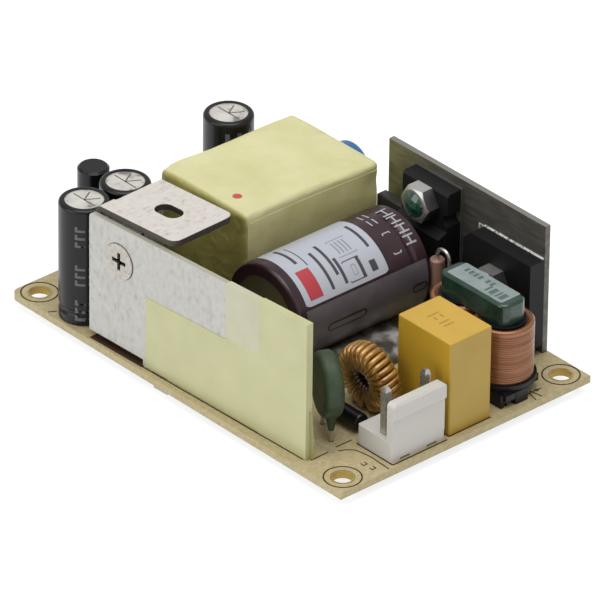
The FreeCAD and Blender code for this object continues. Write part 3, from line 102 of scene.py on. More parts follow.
def add(material, kind, links=None, into=None, stops=(), **settings):
    """One shader node with its settings and links.

    links gives each input a value, or another node and its output. into carries an output of the new
    node on to a node and its input. stops are the values and colours of a colour ramp.
    """
    tree = material.node_tree
    made = tree.nodes.new("ShaderNode" + kind)
    for name, value in settings.items():
        setattr(made, name, value)
    for socket, value in (links or {}).items():
        if isinstance(value, tuple) and isinstance(value[0], bpy.types.Node):
            tree.links.new(value[0].outputs[value[1]], made.inputs[socket])
        else:
            made.inputs[socket].default_value = value
    if stops:
        points = made.color_ramp.elements
        while len(points) < len(stops):
            points.new(0.5)
        for point, (value, colour) in zip(points, stops):
            point.position = value
            point.color = linear(colour)
    if into:
        output, node, socket = into
        tree.links.new(made.outputs[output], node.inputs[socket])
    return made


def finish(name, colour, roughness, **sockets):
    """A named material with the constant values of its surface; returns it and its shader."""
    material = bpy.data.materials.new(name)
    material.use_nodes = True
    shader = material.node_tree.nodes["Principled BSDF"]
    shader.inputs["Base Color"].default_value = linear(colour)
    shader.inputs["Roughness"].default_value = roughness
    for socket, value in sockets.items():
        shader.inputs[socket.replace("_", " ")].default_value = value
    return material, shader


def speckle(material, size, stretch=(1, 1, 1), detail=4, turn=0.0):
    """Noise with marks of about size millimetres, drawn out along the axes where stretch is above 1."""
    place = add(material, "TexCoord")
    scale = [1000 / size / s for s in stretch]
    mapped = add(material, "Mapping", {"Vector": (place, "Object"), "Scale": scale, "Rotation": (0, 0, turn)})
    return add(material, "TexNoise", {"Vector": (mapped, "Vector"), "Scale": 1.0, "Detail": detail})


def along(material, axis, start, end):
    """A value that runs from 0 to 1 between two places, in millimetres of the row frame, on one axis."""
    place = add(material, "TexCoord")
    split = add(material, "SeparateXYZ", {"Vector": (place, "Object")})
    return add(material, "MapRange", {"Value": (split, axis), "From Min": start * MM, "From Max": end * MM})


def facing(material, axis, above):
    """1 on faces whose own normal points along an axis by more than above, 0 on the others."""
    place = add(material, "TexCoord")
    split = add(material, "SeparateXYZ", {"Vector": (place, "Normal")})
    return add(material, "Math", {0: (split, axis), 1: above}, operation="GREATER_THAN")


def dress(material, *names):
    """Gives a finish to whole nodes of the frame."""
    for name in names:
        target = nodes[name]
        target.data.materials.clear()
        target.data.materials.append(material)


print("helpers for materials ready")

# %% [markdown]
# ## Pieces of the scene
# Small work is drawn in board millimetres, and moved to its place in the mesh when it is kept, so
# that patterns on Object coordinates stay where they are in every view. Print could be an image on
# the surface, but thin plates of their own stay sharp from close by and need no unwrapping.


# %% Helpers for pieces
def keep(mesh, name, material, slot, *replaced, angle=35):
    """A bmesh in board millimetres becomes a piece that rides on the frame, in place of any nodes named."""
    bmesh.ops.remove_doubles(mesh, verts=mesh.verts[:], dist=0.0005)
    bmesh.ops.recalc_face_normals(mesh, faces=mesh.faces[:])
    for vert in mesh.verts:
        vert.co = at(*vert.co)
    data = bpy.data.meshes.new(name)
    mesh.to_mesh(data)
    mesh.free()
    data.materials.append(material)
    data.shade_smooth()
    data.set_sharp_from_angle(angle=math.radians(angle))
    made = bpy.data.objects.new(name, data)
    bpy.context.scene.collection.objects.link(made)
    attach(made, "root")
    if replaced:
        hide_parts(*replaced)
    return made


def join(target, part):
    """Adds one bmesh to another and lets it go."""
    held = bpy.data.meshes.new("held")
    part.to_mesh(held)
    part.free()
    target.from_mesh(held)
    bpy.data.meshes.remove(held)


def tile(target, low, high, corner=0.0, frame_width=0.0, cuts=1, turn=0.0, base=0.01, thick=0.04):
    """A thin flat plate between two corners, with rounded corners, as a solid sheet or only its frame."""
    flat = bmesh.new()
    bmesh.ops.create_grid(flat, x_segments=1, y_segments=cuts, size=0.5)
    middle = Vector(((low[0] + high[0]) / 2, (low[1] + high[1]) / 2, base))
    size = Matrix.Diagonal((high[0] - low[0], high[1] - low[1], 1, 1))
    place = Matrix.Translation(middle) @ Matrix.Rotation(turn, 4, "Z") @ size
    bmesh.ops.transform(flat, matrix=place, verts=flat.verts[:])
    if corner:
        ends = [v for v in flat.verts if len(v.link_edges) == 2]
        bmesh.ops.bevel(flat, geom=ends, offset=corner, segments=5, profile=0.5, affect="VERTICES",
                        material=-1)
    if frame_width:
        rim = bmesh.ops.inset_region(flat, faces=flat.faces[:], thickness=frame_width,
                                     use_boundary=True, use_even_offset=True)
        inner = [f for f in flat.faces if f not in rim["faces"]]
        bmesh.ops.delete(flat, geom=inner, context="FACES")
    bmesh.ops.solidify(flat, geom=flat.faces[:], thickness=-thick)
    join(target, flat)


def ring(target, centre, radius, width, start=0.0, turn=360.0, base=0.01, thick=0.03):
    """A flat ring or arc of ink round a centre, from the start angle on."""
    flat = bmesh.new()
    ends = []
    for r in (radius - width / 2, radius + width / 2):
        angle = math.radians(start)
        ends.append(flat.verts.new((centre[0] + r * math.cos(angle), centre[1] + r * math.sin(angle), base)))
    flat.edges.new(ends)
    bmesh.ops.spin(flat, geom=flat.verts[:] + flat.edges[:], cent=(*centre, base), axis=(0, 0, 1),
                   angle=math.radians(turn), steps=max(6, round(turn / 7.5)), use_merge=turn >= 360)
    bmesh.ops.solidify(flat, geom=flat.faces[:], thickness=-thick)
    join(target, flat)


def stroke(target, a, b, width=0.2):
    """A straight line of ink from a to b."""
    length = math.hypot(b[0] - a[0], b[1] - a[1])
    middle = ((a[0] + b[0]) / 2, (a[1] + b[1]) / 2)
    low = (middle[0] - length / 2, middle[1] - width / 2)
    high = (middle[0] + length / 2, middle[1] + width / 2)
    tile(target, low, high, turn=math.atan2(b[1] - a[1], b[0] - a[0]), thick=0.03)


def lay_on(mesh, height):
    """Lifts flat work to a height on the board."""
    bmesh.ops.translate(mesh, verts=mesh.verts[:], vec=(0, 0, height))


def roll(mesh, x, z, radius):
    """Rolls flat work (along Y, round the can from its top in millimetres, proud) on a lying can."""
    for vert in mesh.verts:
        length, round_the_can, proud = vert.co
        turn = round_the_can / radius
        vert.co = (x + (radius + proud) * math.sin(turn), length, z + (radius + proud) * math.cos(turn))


print("helpers for pieces ready")

# %% [markdown]
# ## Sheet metal
# The left heatsink is bare rolled aluminium. Rolling leaves fine marks along the sheet, and handling
# leaves small dark ones. The right one is a dull olive grey, brushed along its length, with a painted
# reflection that lightens its left end, and the bracket's sheared edges are painted dark, as shade. A
# picture of metal would repeat, so noise gives the marks, and the face's own direction tells a sheet's
# flat side from its edge.

# %% Heatsinks and bracket
# Bare rolled aluminium is pale and satin, with soft grey marks under a millimetre across. Its rolling
# grain is a few hundredths of a millimetre, drawn as 0.3 mm so that it shows.
bare_sheet, shader = finish("rolled_aluminium", "#BDBBB6", 0.5, Metallic=0.35)
marks = speckle(bare_sheet, 0.8, (1, 1, 1.5), 9)
flat_face = add(bare_sheet, "ValToRGB", {"Fac": (marks, "Fac")},
                stops=[(0.26, "#A19F9A"), (0.40, "#B2B0AB"), (0.62, "#B8B6B1")])
add(bare_sheet, "Mix", {"Factor": (facing(bare_sheet, "Z", 0.5), "Value"), 6: (flat_face, "Color"),
                        7: linear("#A9A797")}, (2, shader, "Base Color"), data_type="RGBA")
add(bare_sheet, "MapRange", {"Value": (marks, "Fac"), "From Min": 0.3, "From Max": 0.7, "To Min": 0.6,
                             "To Max": 0.44}, ("Result", shader, "Roughness"))
add(bare_sheet, "Bump", {"Height": (speckle(bare_sheet, 0.3, (1, 1, 3), 3), "Fac"), "Strength": 0.3,
                         "Distance": 0.003 * MM}, ("Normal", shader, "Normal"))

# The bracket's bare sheet is warm and bright where it faces up; its cut edges are painted dark, as painted
# shade. Its grain is drawn coarser too, as 0.35 mm.
tab_sheet, shader = finish("sheared_steel_tab", "#C4BFB8", 0.42, Metallic=0.45)
marks = speckle(tab_sheet, 0.8, (1.0, 1.5, 1.0), 9, 0.35)
upper = add(tab_sheet, "ValToRGB", {"Fac": (marks, "Fac")},
            stops=[(0.28, "#B2ABA2"), (0.40, "#D0CAC2"), (0.62, "#DCD6CF")])
# Faces that do not point up take a painted shade.
add(tab_sheet, "Mix", {"Factor": (facing(tab_sheet, "Z", 0.6), "Value"), 6: linear("#443E38"),
                       7: (upper, "Color")}, (2, shader, "Base Color"), data_type="RGBA")
add(tab_sheet, "MapRange", {"Value": (marks, "Fac"), "From Min": 0.3, "From Max": 0.7, "To Min": 0.55,
                            "To Max": 0.38}, ("Result", shader, "Roughness"))
add(tab_sheet, "Bump", {"Height": (speckle(tab_sheet, 0.35, (1, 3, 1), 3), "Fac"), "Strength": 0.3,
                        "Distance": 0.003 * MM}, ("Normal", shader, "Normal"))

# Brushed and anodised sheet is dull and grey, with a pale cut top. The lighter olive near its left end is a
# painted reflection. Brush lines of about 0.05 mm are drawn as 0.15 mm.
dark_sheet, shader = finish("olive_anodised_sheet", "#605C55", 0.42, Metallic=0.55)
marks = speckle(dark_sheet, 0.9, (5, 1, 1), 8)
grey_end = add(dark_sheet, "ValToRGB", {"Fac": (marks, "Fac")},
               stops=[(0.30, "#4E4B46"), (0.50, "#5F5C56"), (0.70, "#6D6A63")])
# A lighter olive copy of the tone: the painted reflection at the left end.
painted_reflection_end = add(dark_sheet, "ValToRGB", {"Fac": (marks, "Fac")},
                stops=[(0.30, "#6B6849"), (0.50, "#7D7A5A"), (0.70, "#8B8867")])
length = along(dark_sheet, "X", -4.0, 6.0)
tone_with_painted_reflection = add(dark_sheet, "Mix", {"Factor": (length, "Result"), 6: (painted_reflection_end, "Color"),
                                     7: (grey_end, "Color")}, data_type="RGBA")
add(dark_sheet, "Mix", {"Factor": (facing(dark_sheet, "Z", 0.5), "Value"), 6: (tone_with_painted_reflection, 2),
                        7: linear("#86847D")}, (2, shader, "Base Color"), data_type="RGBA")
add(dark_sheet, "Bump", {"Height": (speckle(dark_sheet, 0.15, (12, 1, 1), 3), "Fac"), "Strength": 0.3,
                         "Distance": 0.003 * MM}, ("Normal", shader, "Normal"))

dress(bare_sheet, "left_heatsink")
dress(tab_sheet, "mounting_bracket")
dress(dark_sheet, "right_heatsink")
print("sheet metal dressed")

# %% [markdown]
# ## Screws, nuts, pins and leads
# Zinc plated steel is bright with a soft sheen. Tinned pins are brighter and a little dented. Both
# are metals with some roughness. What makes them look real is that neither the gloss nor the
# surface is quite even, so slow noise moves both by a small amount.

# %% Plated metal
# Zinc plate on a cold headed screw is bright, with a slightly uneven sheen.
zinc, shader = finish("zinc_plated_steel", "#BFBDB9", 0.28, Metallic=0.9)
add(zinc, "MapRange", {"Value": (speckle(zinc, 2.0, detail=2), "Fac"), "From Min": 0.3, "From Max": 0.7,
                       "To Min": 0.24, "To Max": 0.34}, ("Result", shader, "Roughness"))
add(zinc, "Bump", {"Height": (speckle(zinc, 1.5, detail=1), "Fac"), "Strength": 0.1,
                   "Distance": 0.004 * MM}, ("Normal", shader, "Normal"))
dress(zinc, "heatsink_screws")

# The same plate on the nuts. Their faces to the right have nothing bright to mirror and read grey.
nut_zinc, shader = finish("zinc_plated_nut", "#BFBDB9", 0.3, Metallic=0.85)
add(nut_zinc, "Mix", {"Factor": (facing(nut_zinc, "X", 0.45), "Value"), 6: linear("#C4C2BE"),
                      7: linear("#6A696C")}, (2, shader, "Base Color"), data_type="RGBA")
add(nut_zinc, "MapRange", {"Value": (speckle(nut_zinc, 2.0, detail=2), "Fac"), "From Min": 0.3,
                           "From Max": 0.7, "To Min": 0.26, "To Max": 0.36},
    ("Result", shader, "Roughness"))
dress(nut_zinc, "bracket_nut", "heatsink_nuts")

# Plate worn by the driver is dull and scuffed. The recess below the face is painted dark, as painted shade.
worn_zinc, shader = finish("worn_zinc_screw", "#B3B0AA", 0.36, Metallic=0.7)
scuffs = add(worn_zinc, "ValToRGB", {"Fac": (speckle(worn_zinc, 0.7, detail=6), "Fac")},
             stops=[(0.35, "#A59F96"), (0.60, "#BAB6AF")])
# Painted shade: from the head's face backwards the colour turns dark.
add(worn_zinc, "Mix", {"Factor": (along(worn_zinc, "Y", -24.35, -24.0), "Result"), 6: (scuffs, "Color"),
                       7: linear("#3A3029")}, (2, shader, "Base Color"), data_type="RGBA")
add(worn_zinc, "Bump", {"Height": (speckle(worn_zinc, 0.5), "Fac"), "Strength": 0.3,
                        "Distance": 0.01 * MM}, ("Normal", shader, "Normal"))
dress(worn_zinc, "bracket_screw")

# Dipped tin is bright and soft, a little wavy along the pin.
tin, shader = finish("tinned_pin", "#B9B8B4", 0.24, Metallic=0.9)
add(tin, "MapRange", {"Value": (speckle(tin, 1.5, detail=2), "Fac"), "From Min": 0.3, "From Max": 0.7,
                      "To Min": 0.2, "To Max": 0.32}, ("Result", shader, "Roughness"))
add(tin, "Bump", {"Height": (speckle(tin, 1.8, (1, 1, 4), 1), "Fac"), "Strength": 0.1,
                  "Distance": 0.002 * MM}, ("Normal", shader, "Normal"))
dress(tin, "input_pins", "output_pins", "component_leads", "chip_leads", "output_rectifier_tab")

# Solder sets bright, with shallow dents of about half a millimetre.
solder, shader = finish("bright_solder", "#B2B4B5", 0.25, Metallic=0.9)
add(solder, "Bump", {"Height": (speckle(solder, 0.6), "Fac"), "Strength": 0.3, "Distance": 0.02 * MM},
    ("Normal", shader, "Normal"))
dress(solder, "solder_joints")

# Thick brushed paint keeps a wet gloss over an uneven dark green.
lock, shader = finish("locking_paint", "#123F33", 0.12, Coat_Weight=0.8)
add(lock, "ValToRGB", {"Fac": (speckle(lock, 0.9), "Fac")}, ("Color", shader, "Base Color"),
    stops=[(0.35, "#082219"), (0.68, "#17503F")])
dress(lock, "thread_lock")
print("plated parts dressed")

# %% [markdown]
# ## Moulded black plastic and ferrite
# Transistors, bridges and chips are moulded in black epoxy with a fine matt grain. Black parts need
# little colour: they are told apart by how rough they are, so each gets its own grain.

# %% Black mouldings
# Transfer moulded epoxy is nearly black and matt. Its grain is finer than 0.05 mm, drawn as 0.18 mm.
epoxy, shader = finish("black_epoxy", "#0E0D0E", 0.55, Specular_IOR_Level=0.25)
grain = speckle(epoxy, 0.18, detail=3)
add(epoxy, "ValToRGB", {"Fac": (grain, "Fac")}, ("Color", shader, "Base Color"),
    stops=[(0.35, "#0A0A0A"), (0.65, "#141415")])
add(epoxy, "Bump", {"Height": (grain, "Fac"), "Strength": 0.4, "Distance": 0.008 * MM},
    ("Normal", shader, "Normal"))
dress(epoxy, "output_rectifier_body", "switching_transistor", "bridge_rectifier", "optocoupler",
      "controller_chip", "regulator_chip", "chip_resistors")

# Injection moulded plastic is black and smoother, with an uneven sheen. Its grain is drawn as 0.3 mm,
# coarser than it is.
bobbin, shader = finish("black_bobbin_plastic", "#101013", 0.36, Specular_IOR_Level=0.3)
add(bobbin, "MapRange", {"Value": (speckle(bobbin, 1.5), "Fac"), "From Min": 0.3, "From Max": 0.7,
                         "To Min": 0.3, "To Max": 0.46}, ("Result", shader, "Roughness"))
add(bobbin, "Bump", {"Height": (speckle(bobbin, 0.3), "Fac"), "Strength": 0.3, "Distance": 0.006 * MM},
    ("Normal", shader, "Normal"))
dress(bobbin, "transformer_base", "line_choke_bobbin")

# Pressed and fired ferrite is dark grey and dry, with a fine grit that is drawn as 0.3 mm.
ferrite, shader = finish("pressed_ferrite", "#26262A", 0.55)
grain = speckle(ferrite, 0.3)
add(ferrite, "ValToRGB", {"Fac": (grain, "Fac")}, ("Color", shader, "Base Color"),
    stops=[(0.35, "#1C1C1F"), (0.65, "#313136")])
add(ferrite, "Bump", {"Height": (grain, "Fac"), "Strength": 0.4, "Distance": 0.01 * MM},
    ("Normal", shader, "Normal"))
dress(ferrite, "transformer_core", "toroid_core")

# A potted box is dark, even and satin.
film, shader = finish("dark_potted_box", "#2F2E2B", 0.4)
add(film, "Bump", {"Height": (speckle(film, 0.4), "Fac"), "Strength": 0.3, "Distance": 0.01 * MM},
    ("Normal", shader, "Normal"))
dress(film, "snubber_capacitor")
print("mouldings dressed")

# %% [markdown]
# ## Dipped parts
# Discs are dipped in epoxy, so their surface is soft and uneven. The solids are smooth. The lumps
# could be modelled, but at this size they only bend the light, which a bump from noise does too.

# %% Dipped parts
# Epoxy that ran before it set is matt, with lumps about 2 mm across.
green_dip, shader = finish("green_dipped_epoxy", "#2D3D2A", 0.55)
lumps = speckle(green_dip, 2.0, detail=5)
add(green_dip, "ValToRGB", {"Fac": (lumps, "Fac")}, ("Color", shader, "Base Color"),
    stops=[(0.30, "#22301B"), (0.70, "#314328")])
add(green_dip, "Bump", {"Height": (lumps, "Fac"), "Strength": 0.5, "Distance": 0.3 * MM},
    ("Normal", shader, "Normal"))
dress(green_dip, "inrush_thermistor")

# A thinner dip stays glossy, with shallow waves of about 1.6 mm.
blue_dip, shader = finish("blue_dipped_epoxy", "#24618F", 0.3, Coat_Weight=0.3)
add(blue_dip, "Bump", {"Height": (speckle(blue_dip, 1.6), "Fac"), "Strength": 0.25,
                       "Distance": 0.12 * MM}, ("Normal", shader, "Normal"))
dress(blue_dip, "safety_capacitor")

# Baked enamel is glossy and faintly uneven.
tan_coat, shader = finish("tan_resistor_enamel", "#8E6E64", 0.32, Coat_Weight=0.3)
add(tan_coat, "Bump", {"Height": (speckle(tan_coat, 1.0), "Fac"), "Strength": 0.2, "Distance": 0.05 * MM},
    ("Normal", shader, "Normal"))
dress(tan_coat, "snubber_resistor")
print("dipped parts dressed")

# %% [markdown]
# ## Sleeves and cans
# Capacitors are drawn aluminium cans in shrunk PVC. The film is smooth with a sharp reflection that
# wavers a little. A clear coat over a dark base gives that sharp line without making the black grey.

# %% Sleeves and cans
# Shrunk film is tight and shiny, with slow waves of a few millimetres along the can.
black_sleeve, shader = finish("black_shrink_sleeve", "#0C0C0E", 0.3, Coat_Weight=0.08, Coat_Roughness=0.1,
                              Specular_IOR_Level=0.3)
add(black_sleeve, "Bump", {"Height": (speckle(black_sleeve, 3.5, (1, 1, 2)), "Fac"), "Strength": 0.25,
                           "Distance": 0.05 * MM}, ("Normal", shader, "Normal"))
dress(black_sleeve, "output_capacitor_front_sleeve", "output_capacitor_middle_sleeve",
      "output_capacitor_rear_sleeve", "output_filter_choke", "input_fuse")

# The bare top of a drawn can is bright, with grey spots of about 2 mm where it was touched.
bright_can, shader = finish("drawn_aluminium_can", "#D8D5CE", 0.35, Metallic=0.5)
add(bright_can, "ValToRGB", {"Fac": (speckle(bright_can, 2.2, detail=7), "Fac")},
    ("Color", shader, "Base Color"), stops=[(0.33, "#8E897F"), (0.42, "#CECAC2"), (0.65, "#DEDBD5")])
add(bright_can, "Bump", {"Height": (speckle(bright_can, 0.3), "Fac"), "Strength": 0.3,
                         "Distance": 0.006 * MM}, ("Normal", shader, "Normal"))
dress(bright_can, "output_capacitor_front", "output_capacitor_middle", "output_capacitor_rear")

# The same film in dark maroon; slow waves break its long reflection.
maroon, shader = finish("maroon_shrink_sleeve", "#2E1B20", 0.3, Coat_Weight=0.15, Coat_Roughness=0.15,
                        Specular_IOR_Level=0.4)
add(maroon, "ValToRGB", {"Fac": (speckle(maroon, 5.0), "Fac")}, ("Color", shader, "Base Color"),
    stops=[(0.3, "#26141A"), (0.7, "#341E24")])
add(maroon, "Bump", {"Height": (speckle(maroon, 4.0, (1, 2, 1)), "Fac"), "Strength": 0.25,
                     "Distance": 0.06 * MM}, ("Normal", shader, "Normal"))
dress(maroon, "bulk_capacitor_sleeve")

# The can's end lies in the sleeve's shade and reads as a dull warm metal.
can_end, shader = finish("aluminium_can_end", "#797459", 0.3, Metallic=0.7)
add(can_end, "Bump", {"Height": (speckle(can_end, 0.3), "Fac"), "Strength": 0.25, "Distance": 0.006 * MM},
    ("Normal", shader, "Normal"))
dress(can_end, "bulk_capacitor_can")
print("sleeves and cans dressed")

# %% [markdown]
# ## Silicone, heat compound and pads
# These are put on by hand and set as they were left. Their solids are plain beads and films, and a
# strong slow relief with patches of colour stands for the folds and smears. On the silicone the patches
# are painted shade and light, and its grey and the pad's grey are painted darker, as shade.

# %% Soft fillers
# Squeezed silicone is cloudy grey, in soft folds of about 3 mm that let a little light in. Its grey is
# painted darker, as shade, and its dark and pale patches are painted shade and light on the folds.
silicone, shader = finish("silicone_bead", "#8E8B85", 0.35, Subsurface_Weight=0.1, Subsurface_Scale=0.002)
lumps = speckle(silicone, 3.2, detail=2)
add(silicone, "ValToRGB", {"Fac": (lumps, "Fac")}, ("Color", shader, "Base Color"),
    stops=[(0.38, "#4A453F"), (0.50, "#7B776F"), (0.62, "#B5B2AB")])
add(silicone, "Bump", {"Height": (lumps, "Fac"), "Strength": 0.7, "Distance": 1.0 * MM},
    ("Normal", shader, "Normal"))
dress(silicone, "fixing_silicone")

# A thin smear of filled grease is chalky, and the dark plate shows through in places.
compound, shader = finish("white_heat_compound", "#D4D3D0", 0.55)
add(compound, "ValToRGB", {"Fac": (speckle(compound, 0.7, detail=5), "Fac")},
    ("Color", shader, "Base Color"), stops=[(0.40, "#6A6863"), (0.52, "#C2C0BB")])
add(compound, "Bump", {"Height": (speckle(compound, 0.6), "Fac"), "Strength": 0.6, "Distance": 0.12 * MM},
    ("Normal", shader, "Normal"))
dress(compound, "thermal_compound")

# Filled silicone rubber is flat grey, without shine. Its grey is painted darker, as painted shade.
pad, shader = finish("grey_silicone_pad", "#4A4844", 0.6)
add(pad, "Bump", {"Height": (speckle(pad, 0.3), "Fac"), "Strength": 0.4, "Distance": 0.01 * MM},
    ("Normal", shader, "Normal"))
dress(pad, "transistor_pad")

# Fired ceramic is tan and satin.
chip_body, shader = finish("tan_chip_ceramic", "#957C62", 0.4)
add(chip_body, "Bump", {"Height": (speckle(chip_body, 0.3), "Fac"), "Strength": 0.3,
                        "Distance": 0.01 * MM}, ("Normal", shader, "Normal"))
dress(chip_body, "chip_ceramics")
print("fillers and small chips dressed")

# %% [markdown]
# ## Plastic boxes
# The yellow capacitor is a smooth moulded box. The connector is natural nylon, which lets a little
# light in, so its corners glow slightly: a small share of subsurface scattering does that.

# %% Yellow box and nylon
# Moulded plastic has a soft sheen. Each side has its own tone, as the light falls on the real one.
yellow_box, shader = finish("yellow_moulded_box", "#B6933A", 0.42)
tone = speckle(yellow_box, 9.0, detail=2)
top_tone = add(yellow_box, "ValToRGB", {"Fac": (tone, "Fac")}, stops=[(0.3, "#B69236"), (0.7, "#BF9B3C")])
right_tone = add(yellow_box, "ValToRGB", {"Fac": (tone, "Fac")},
                 stops=[(0.3, "#9F832E"), (0.7, "#A88A33")])
front_tone = add(yellow_box, "ValToRGB", {"Fac": (tone, "Fac")},
                 stops=[(0.3, "#AC8822"), (0.7, "#B48E28")])
sides = add(yellow_box, "Mix", {"Factor": (facing(yellow_box, "X", 0.5), "Value"),
                                6: (front_tone, "Color"), 7: (right_tone, "Color")}, data_type="RGBA")
add(yellow_box, "Mix", {"Factor": (facing(yellow_box, "Z", 0.5), "Value"), 6: (sides, 2),
                        7: (top_tone, "Color")}, (2, shader, "Base Color"), data_type="RGBA")
add(yellow_box, "Bump", {"Height": (speckle(yellow_box, 0.25), "Fac"), "Strength": 0.4,
                         "Distance": 0.006 * MM}, ("Normal", shader, "Normal"))
dress(yellow_box, "box_capacitor")

# Natural nylon is milky, because light passes a millimetre or two into it.
nylon, shader = finish("natural_nylon", "#BDBAB4", 0.42, Subsurface_Weight=0.15, Subsurface_Scale=0.0015)
add(nylon, "Bump", {"Height": (speckle(nylon, 0.6), "Fac"), "Strength": 0.3, "Distance": 0.015 * MM},
    ("Normal", shader, "Normal"))
dress(nylon, "input_connector", "output_connector")

# A powder coat on the core is dark green and glossy, pooled in patches of about 2 mm.
green_core, shader = finish("green_core_coating", "#15362A", 0.28, Coat_Weight=0.4)
tone = speckle(green_core, 2.0)
add(green_core, "ValToRGB", {"Fac": (tone, "Fac")}, ("Color", shader, "Base Color"),
    stops=[(0.3, "#10281E"), (0.7, "#1A3D2E")])
add(green_core, "Bump", {"Height": (tone, "Fac"), "Strength": 0.25, "Distance": 0.08 * MM},
    ("Normal", shader, "Normal"))
dress(green_core, "line_choke_core")
print("plastic parts dressed")

# %% [markdown]
# ## The board
# The laminate is tan and slightly mottled. Its lower side is covered by green solder mask, with
# tracks under it. Both sides belong to one solid, so the colour changes with the height: from a
# hair's breadth above the board's lower face it is laminate. The wall of the long slot is painted pale, as
# painted light.

# %% Board laminate and mask
# Pressed laminate is tan and satin, mottled by the weave inside it at about 0.6 mm.
laminate, shader = finish("tan_laminate", "#A99B74", 0.5)
weave = speckle(laminate, 0.6, detail=6)
tan = add(laminate, "ValToRGB", {"Fac": (weave, "Fac")}, stops=[(0.30, "#9F916B"), (0.70, "#B3A57E")])
tracks = add(laminate, "TexVoronoi", {"Vector": (add(laminate, "TexCoord"), "Object"), "Scale": 130.0},
             distance="CHEBYCHEV")
mask = add(laminate, "ValToRGB", {"Fac": (tracks, "Distance")},
           stops=[(0.30, "#3C6B45"), (0.36, "#2A5536"), (0.80, "#2E5A3A")])
SLOT_MIDDLE = (64.7, 6.75, 0.6)
SLOT_REACH = (2.7, 2.5)
place = add(laminate, "TexCoord")
apart = add(laminate, "VectorMath", {0: (place, "Object"), 1: at(*SLOT_MIDDLE)}, operation="DISTANCE")
near_slot = add(laminate, "MapRange", {"Value": (apart, "Value"), "From Min": SLOT_REACH[0] * MM,
                                       "From Max": SLOT_REACH[1] * MM})
level_face = facing(laminate, "Z", 0.5)
# Upright faces round the slot take a pale painted light.
wall = add(laminate, "Math", {0: (near_slot, "Result"), 1: (level_face, "Value")}, operation="SUBTRACT")
tan_or_painted_light = add(laminate, "Mix", {"Factor": (wall, "Value"), 6: (tan, "Color"), 7: linear("#F4EDCB")},
                   data_type="RGBA")
add(laminate, "Mix", {"Factor": (along(laminate, "Z", 1.62, 1.60), "Result"), 6: (tan_or_painted_light, 2),
                      7: (mask, "Color")}, (2, shader, "Base Color"), data_type="RGBA")
add(laminate, "Bump", {"Height": (weave, "Fac"), "Strength": 0.4, "Distance": 0.006 * MM},
    ("Normal", shader, "Normal"))
dress(laminate, "circuit_board")

# Screen printed ink is thin, dark brown and matt. The same ink also stands in for painted shade on the board.
ink, shader = finish("dark_board_ink_and_painted_shade", "#3A2A1A", 0.7, Specular_IOR_Level=0.2)
add(ink, "Bump", {"Height": (speckle(ink, 0.3), "Fac"), "Strength": 0.3, "Distance": 0.01 * MM},
    ("Normal", shader, "Normal"))
# A thin plating on copper gives a soft yellow metal.
gold, shader = finish("flash_gold_ring", "#B0934A", 0.35, Metallic=0.6)
add(gold, "Bump", {"Height": (speckle(gold, 0.4), "Fac"), "Strength": 0.3, "Distance": 0.01 * MM},
    ("Normal", shader, "Normal"))
print("board dressed")

# %% [markdown]
# ## Ink, painted shade and rings on the board
# The board is printed with rings round its screw holes and with the outlines of its parts, and dark
# strips of painted shade lie along the feet of the left heatsink, the input connector and the yellow
# box. Each is a flat strip a few hundredths of a millimetre thick. A ring is a short edge spun round its
# hole, and a line is a plate turned to its direction, so nothing has to be drawn point by point.

# %% Board print
HOLES = ((73.03, 3.18), (73.03, 47.62), (3.18, 3.18))
work = bmesh.new()
for hole in HOLES:
    ring(work, hole, 2.9, 0.22)
# This line at the heatsink's right end is partly print and partly a painted shadow of its foot.
stroke(work, (66.5, 2.7), (66.45, 6.2))
stroke(work, (8.5, 0.4), (9.2, 1.6))
stroke(work, (66.13, 8.0), (66.23, 11.1))
CURVED_LINE = ((67.2, 7.5), (67.7, 8.6), (68.6, 9.6), (70.0, 9.9), (71.6, 10.1), (73.8, 10.0), (75.9, 9.9))
for a, b in zip(CURVED_LINE, CURVED_LINE[1:]):
    stroke(work, a, b)
stroke(work, (73.8, 39.5), (73.9, 42.7), 0.18)
stroke(work, (73.4, 40.8), (75.7, 41.2), 0.18)
stroke(work, (73.7, 40.3), (75.9, 39.8), 0.18)
# Painted shadow along the near and right feet of the connector and the yellow box.
for node in ("input_connector", "box_capacitor"):
    low, high = (((x / MM + BOARD[0] / 2), (y / MM + BOARD[1] / 2)) for x, y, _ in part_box(node))
    edge = [(low[0], low[1] - 0.1), (high[0] + 0.1, low[1] - 0.1), (high[0] + 0.1, high[1])]
    for a, b in zip(edge, edge[1:]):
        stroke(work, a, b, 0.26)
for x, y in ((72.0, 7.7), (73.7, 7.9)):
    stroke(work, (x, y), (x + 0.8, y), 0.16)
    stroke(work, (x, y + 0.7), (x + 0.8, y + 0.7), 0.16)
    stroke(work, (x + 0.7, y), (x + 0.7, y + 0.7), 0.16)
PLATE_RIGHT_END = (65.9, 2.25)
PLATE_TURN = math.radians(1.6)


def before_plate(x, away):
    """A spot on the board, so far in front of the left heatsink, which stands a little turned."""
    end_x, end_y = PLATE_RIGHT_END
    back = end_x - x
    return end_x - back * math.cos(PLATE_TURN), end_y - away - back * math.sin(PLATE_TURN)


# Painted shadow along the foot of the left heatsink, and painted shade under its raised part.
stroke(work, before_plate(30.0, 0.30), before_plate(65.6, 0.30), 0.22)
stroke(work, before_plate(18.2, -0.8), before_plate(30.0, -0.8), 2.6)
lay_on(work, BOARD_TOP)
keep(work, "board_print_and_painted_shade", ink, "laminate")

work = bmesh.new()
for hole in HOLES:
    ring(work, hole, 1.8, 0.22)
    ring(work, hole, 1.575, 0.04, base=-1.15, thick=1.1)
lay_on(work, BOARD_TOP)
keep(work, "hole_rings", gold, "pin_tin")
print("board print laid")

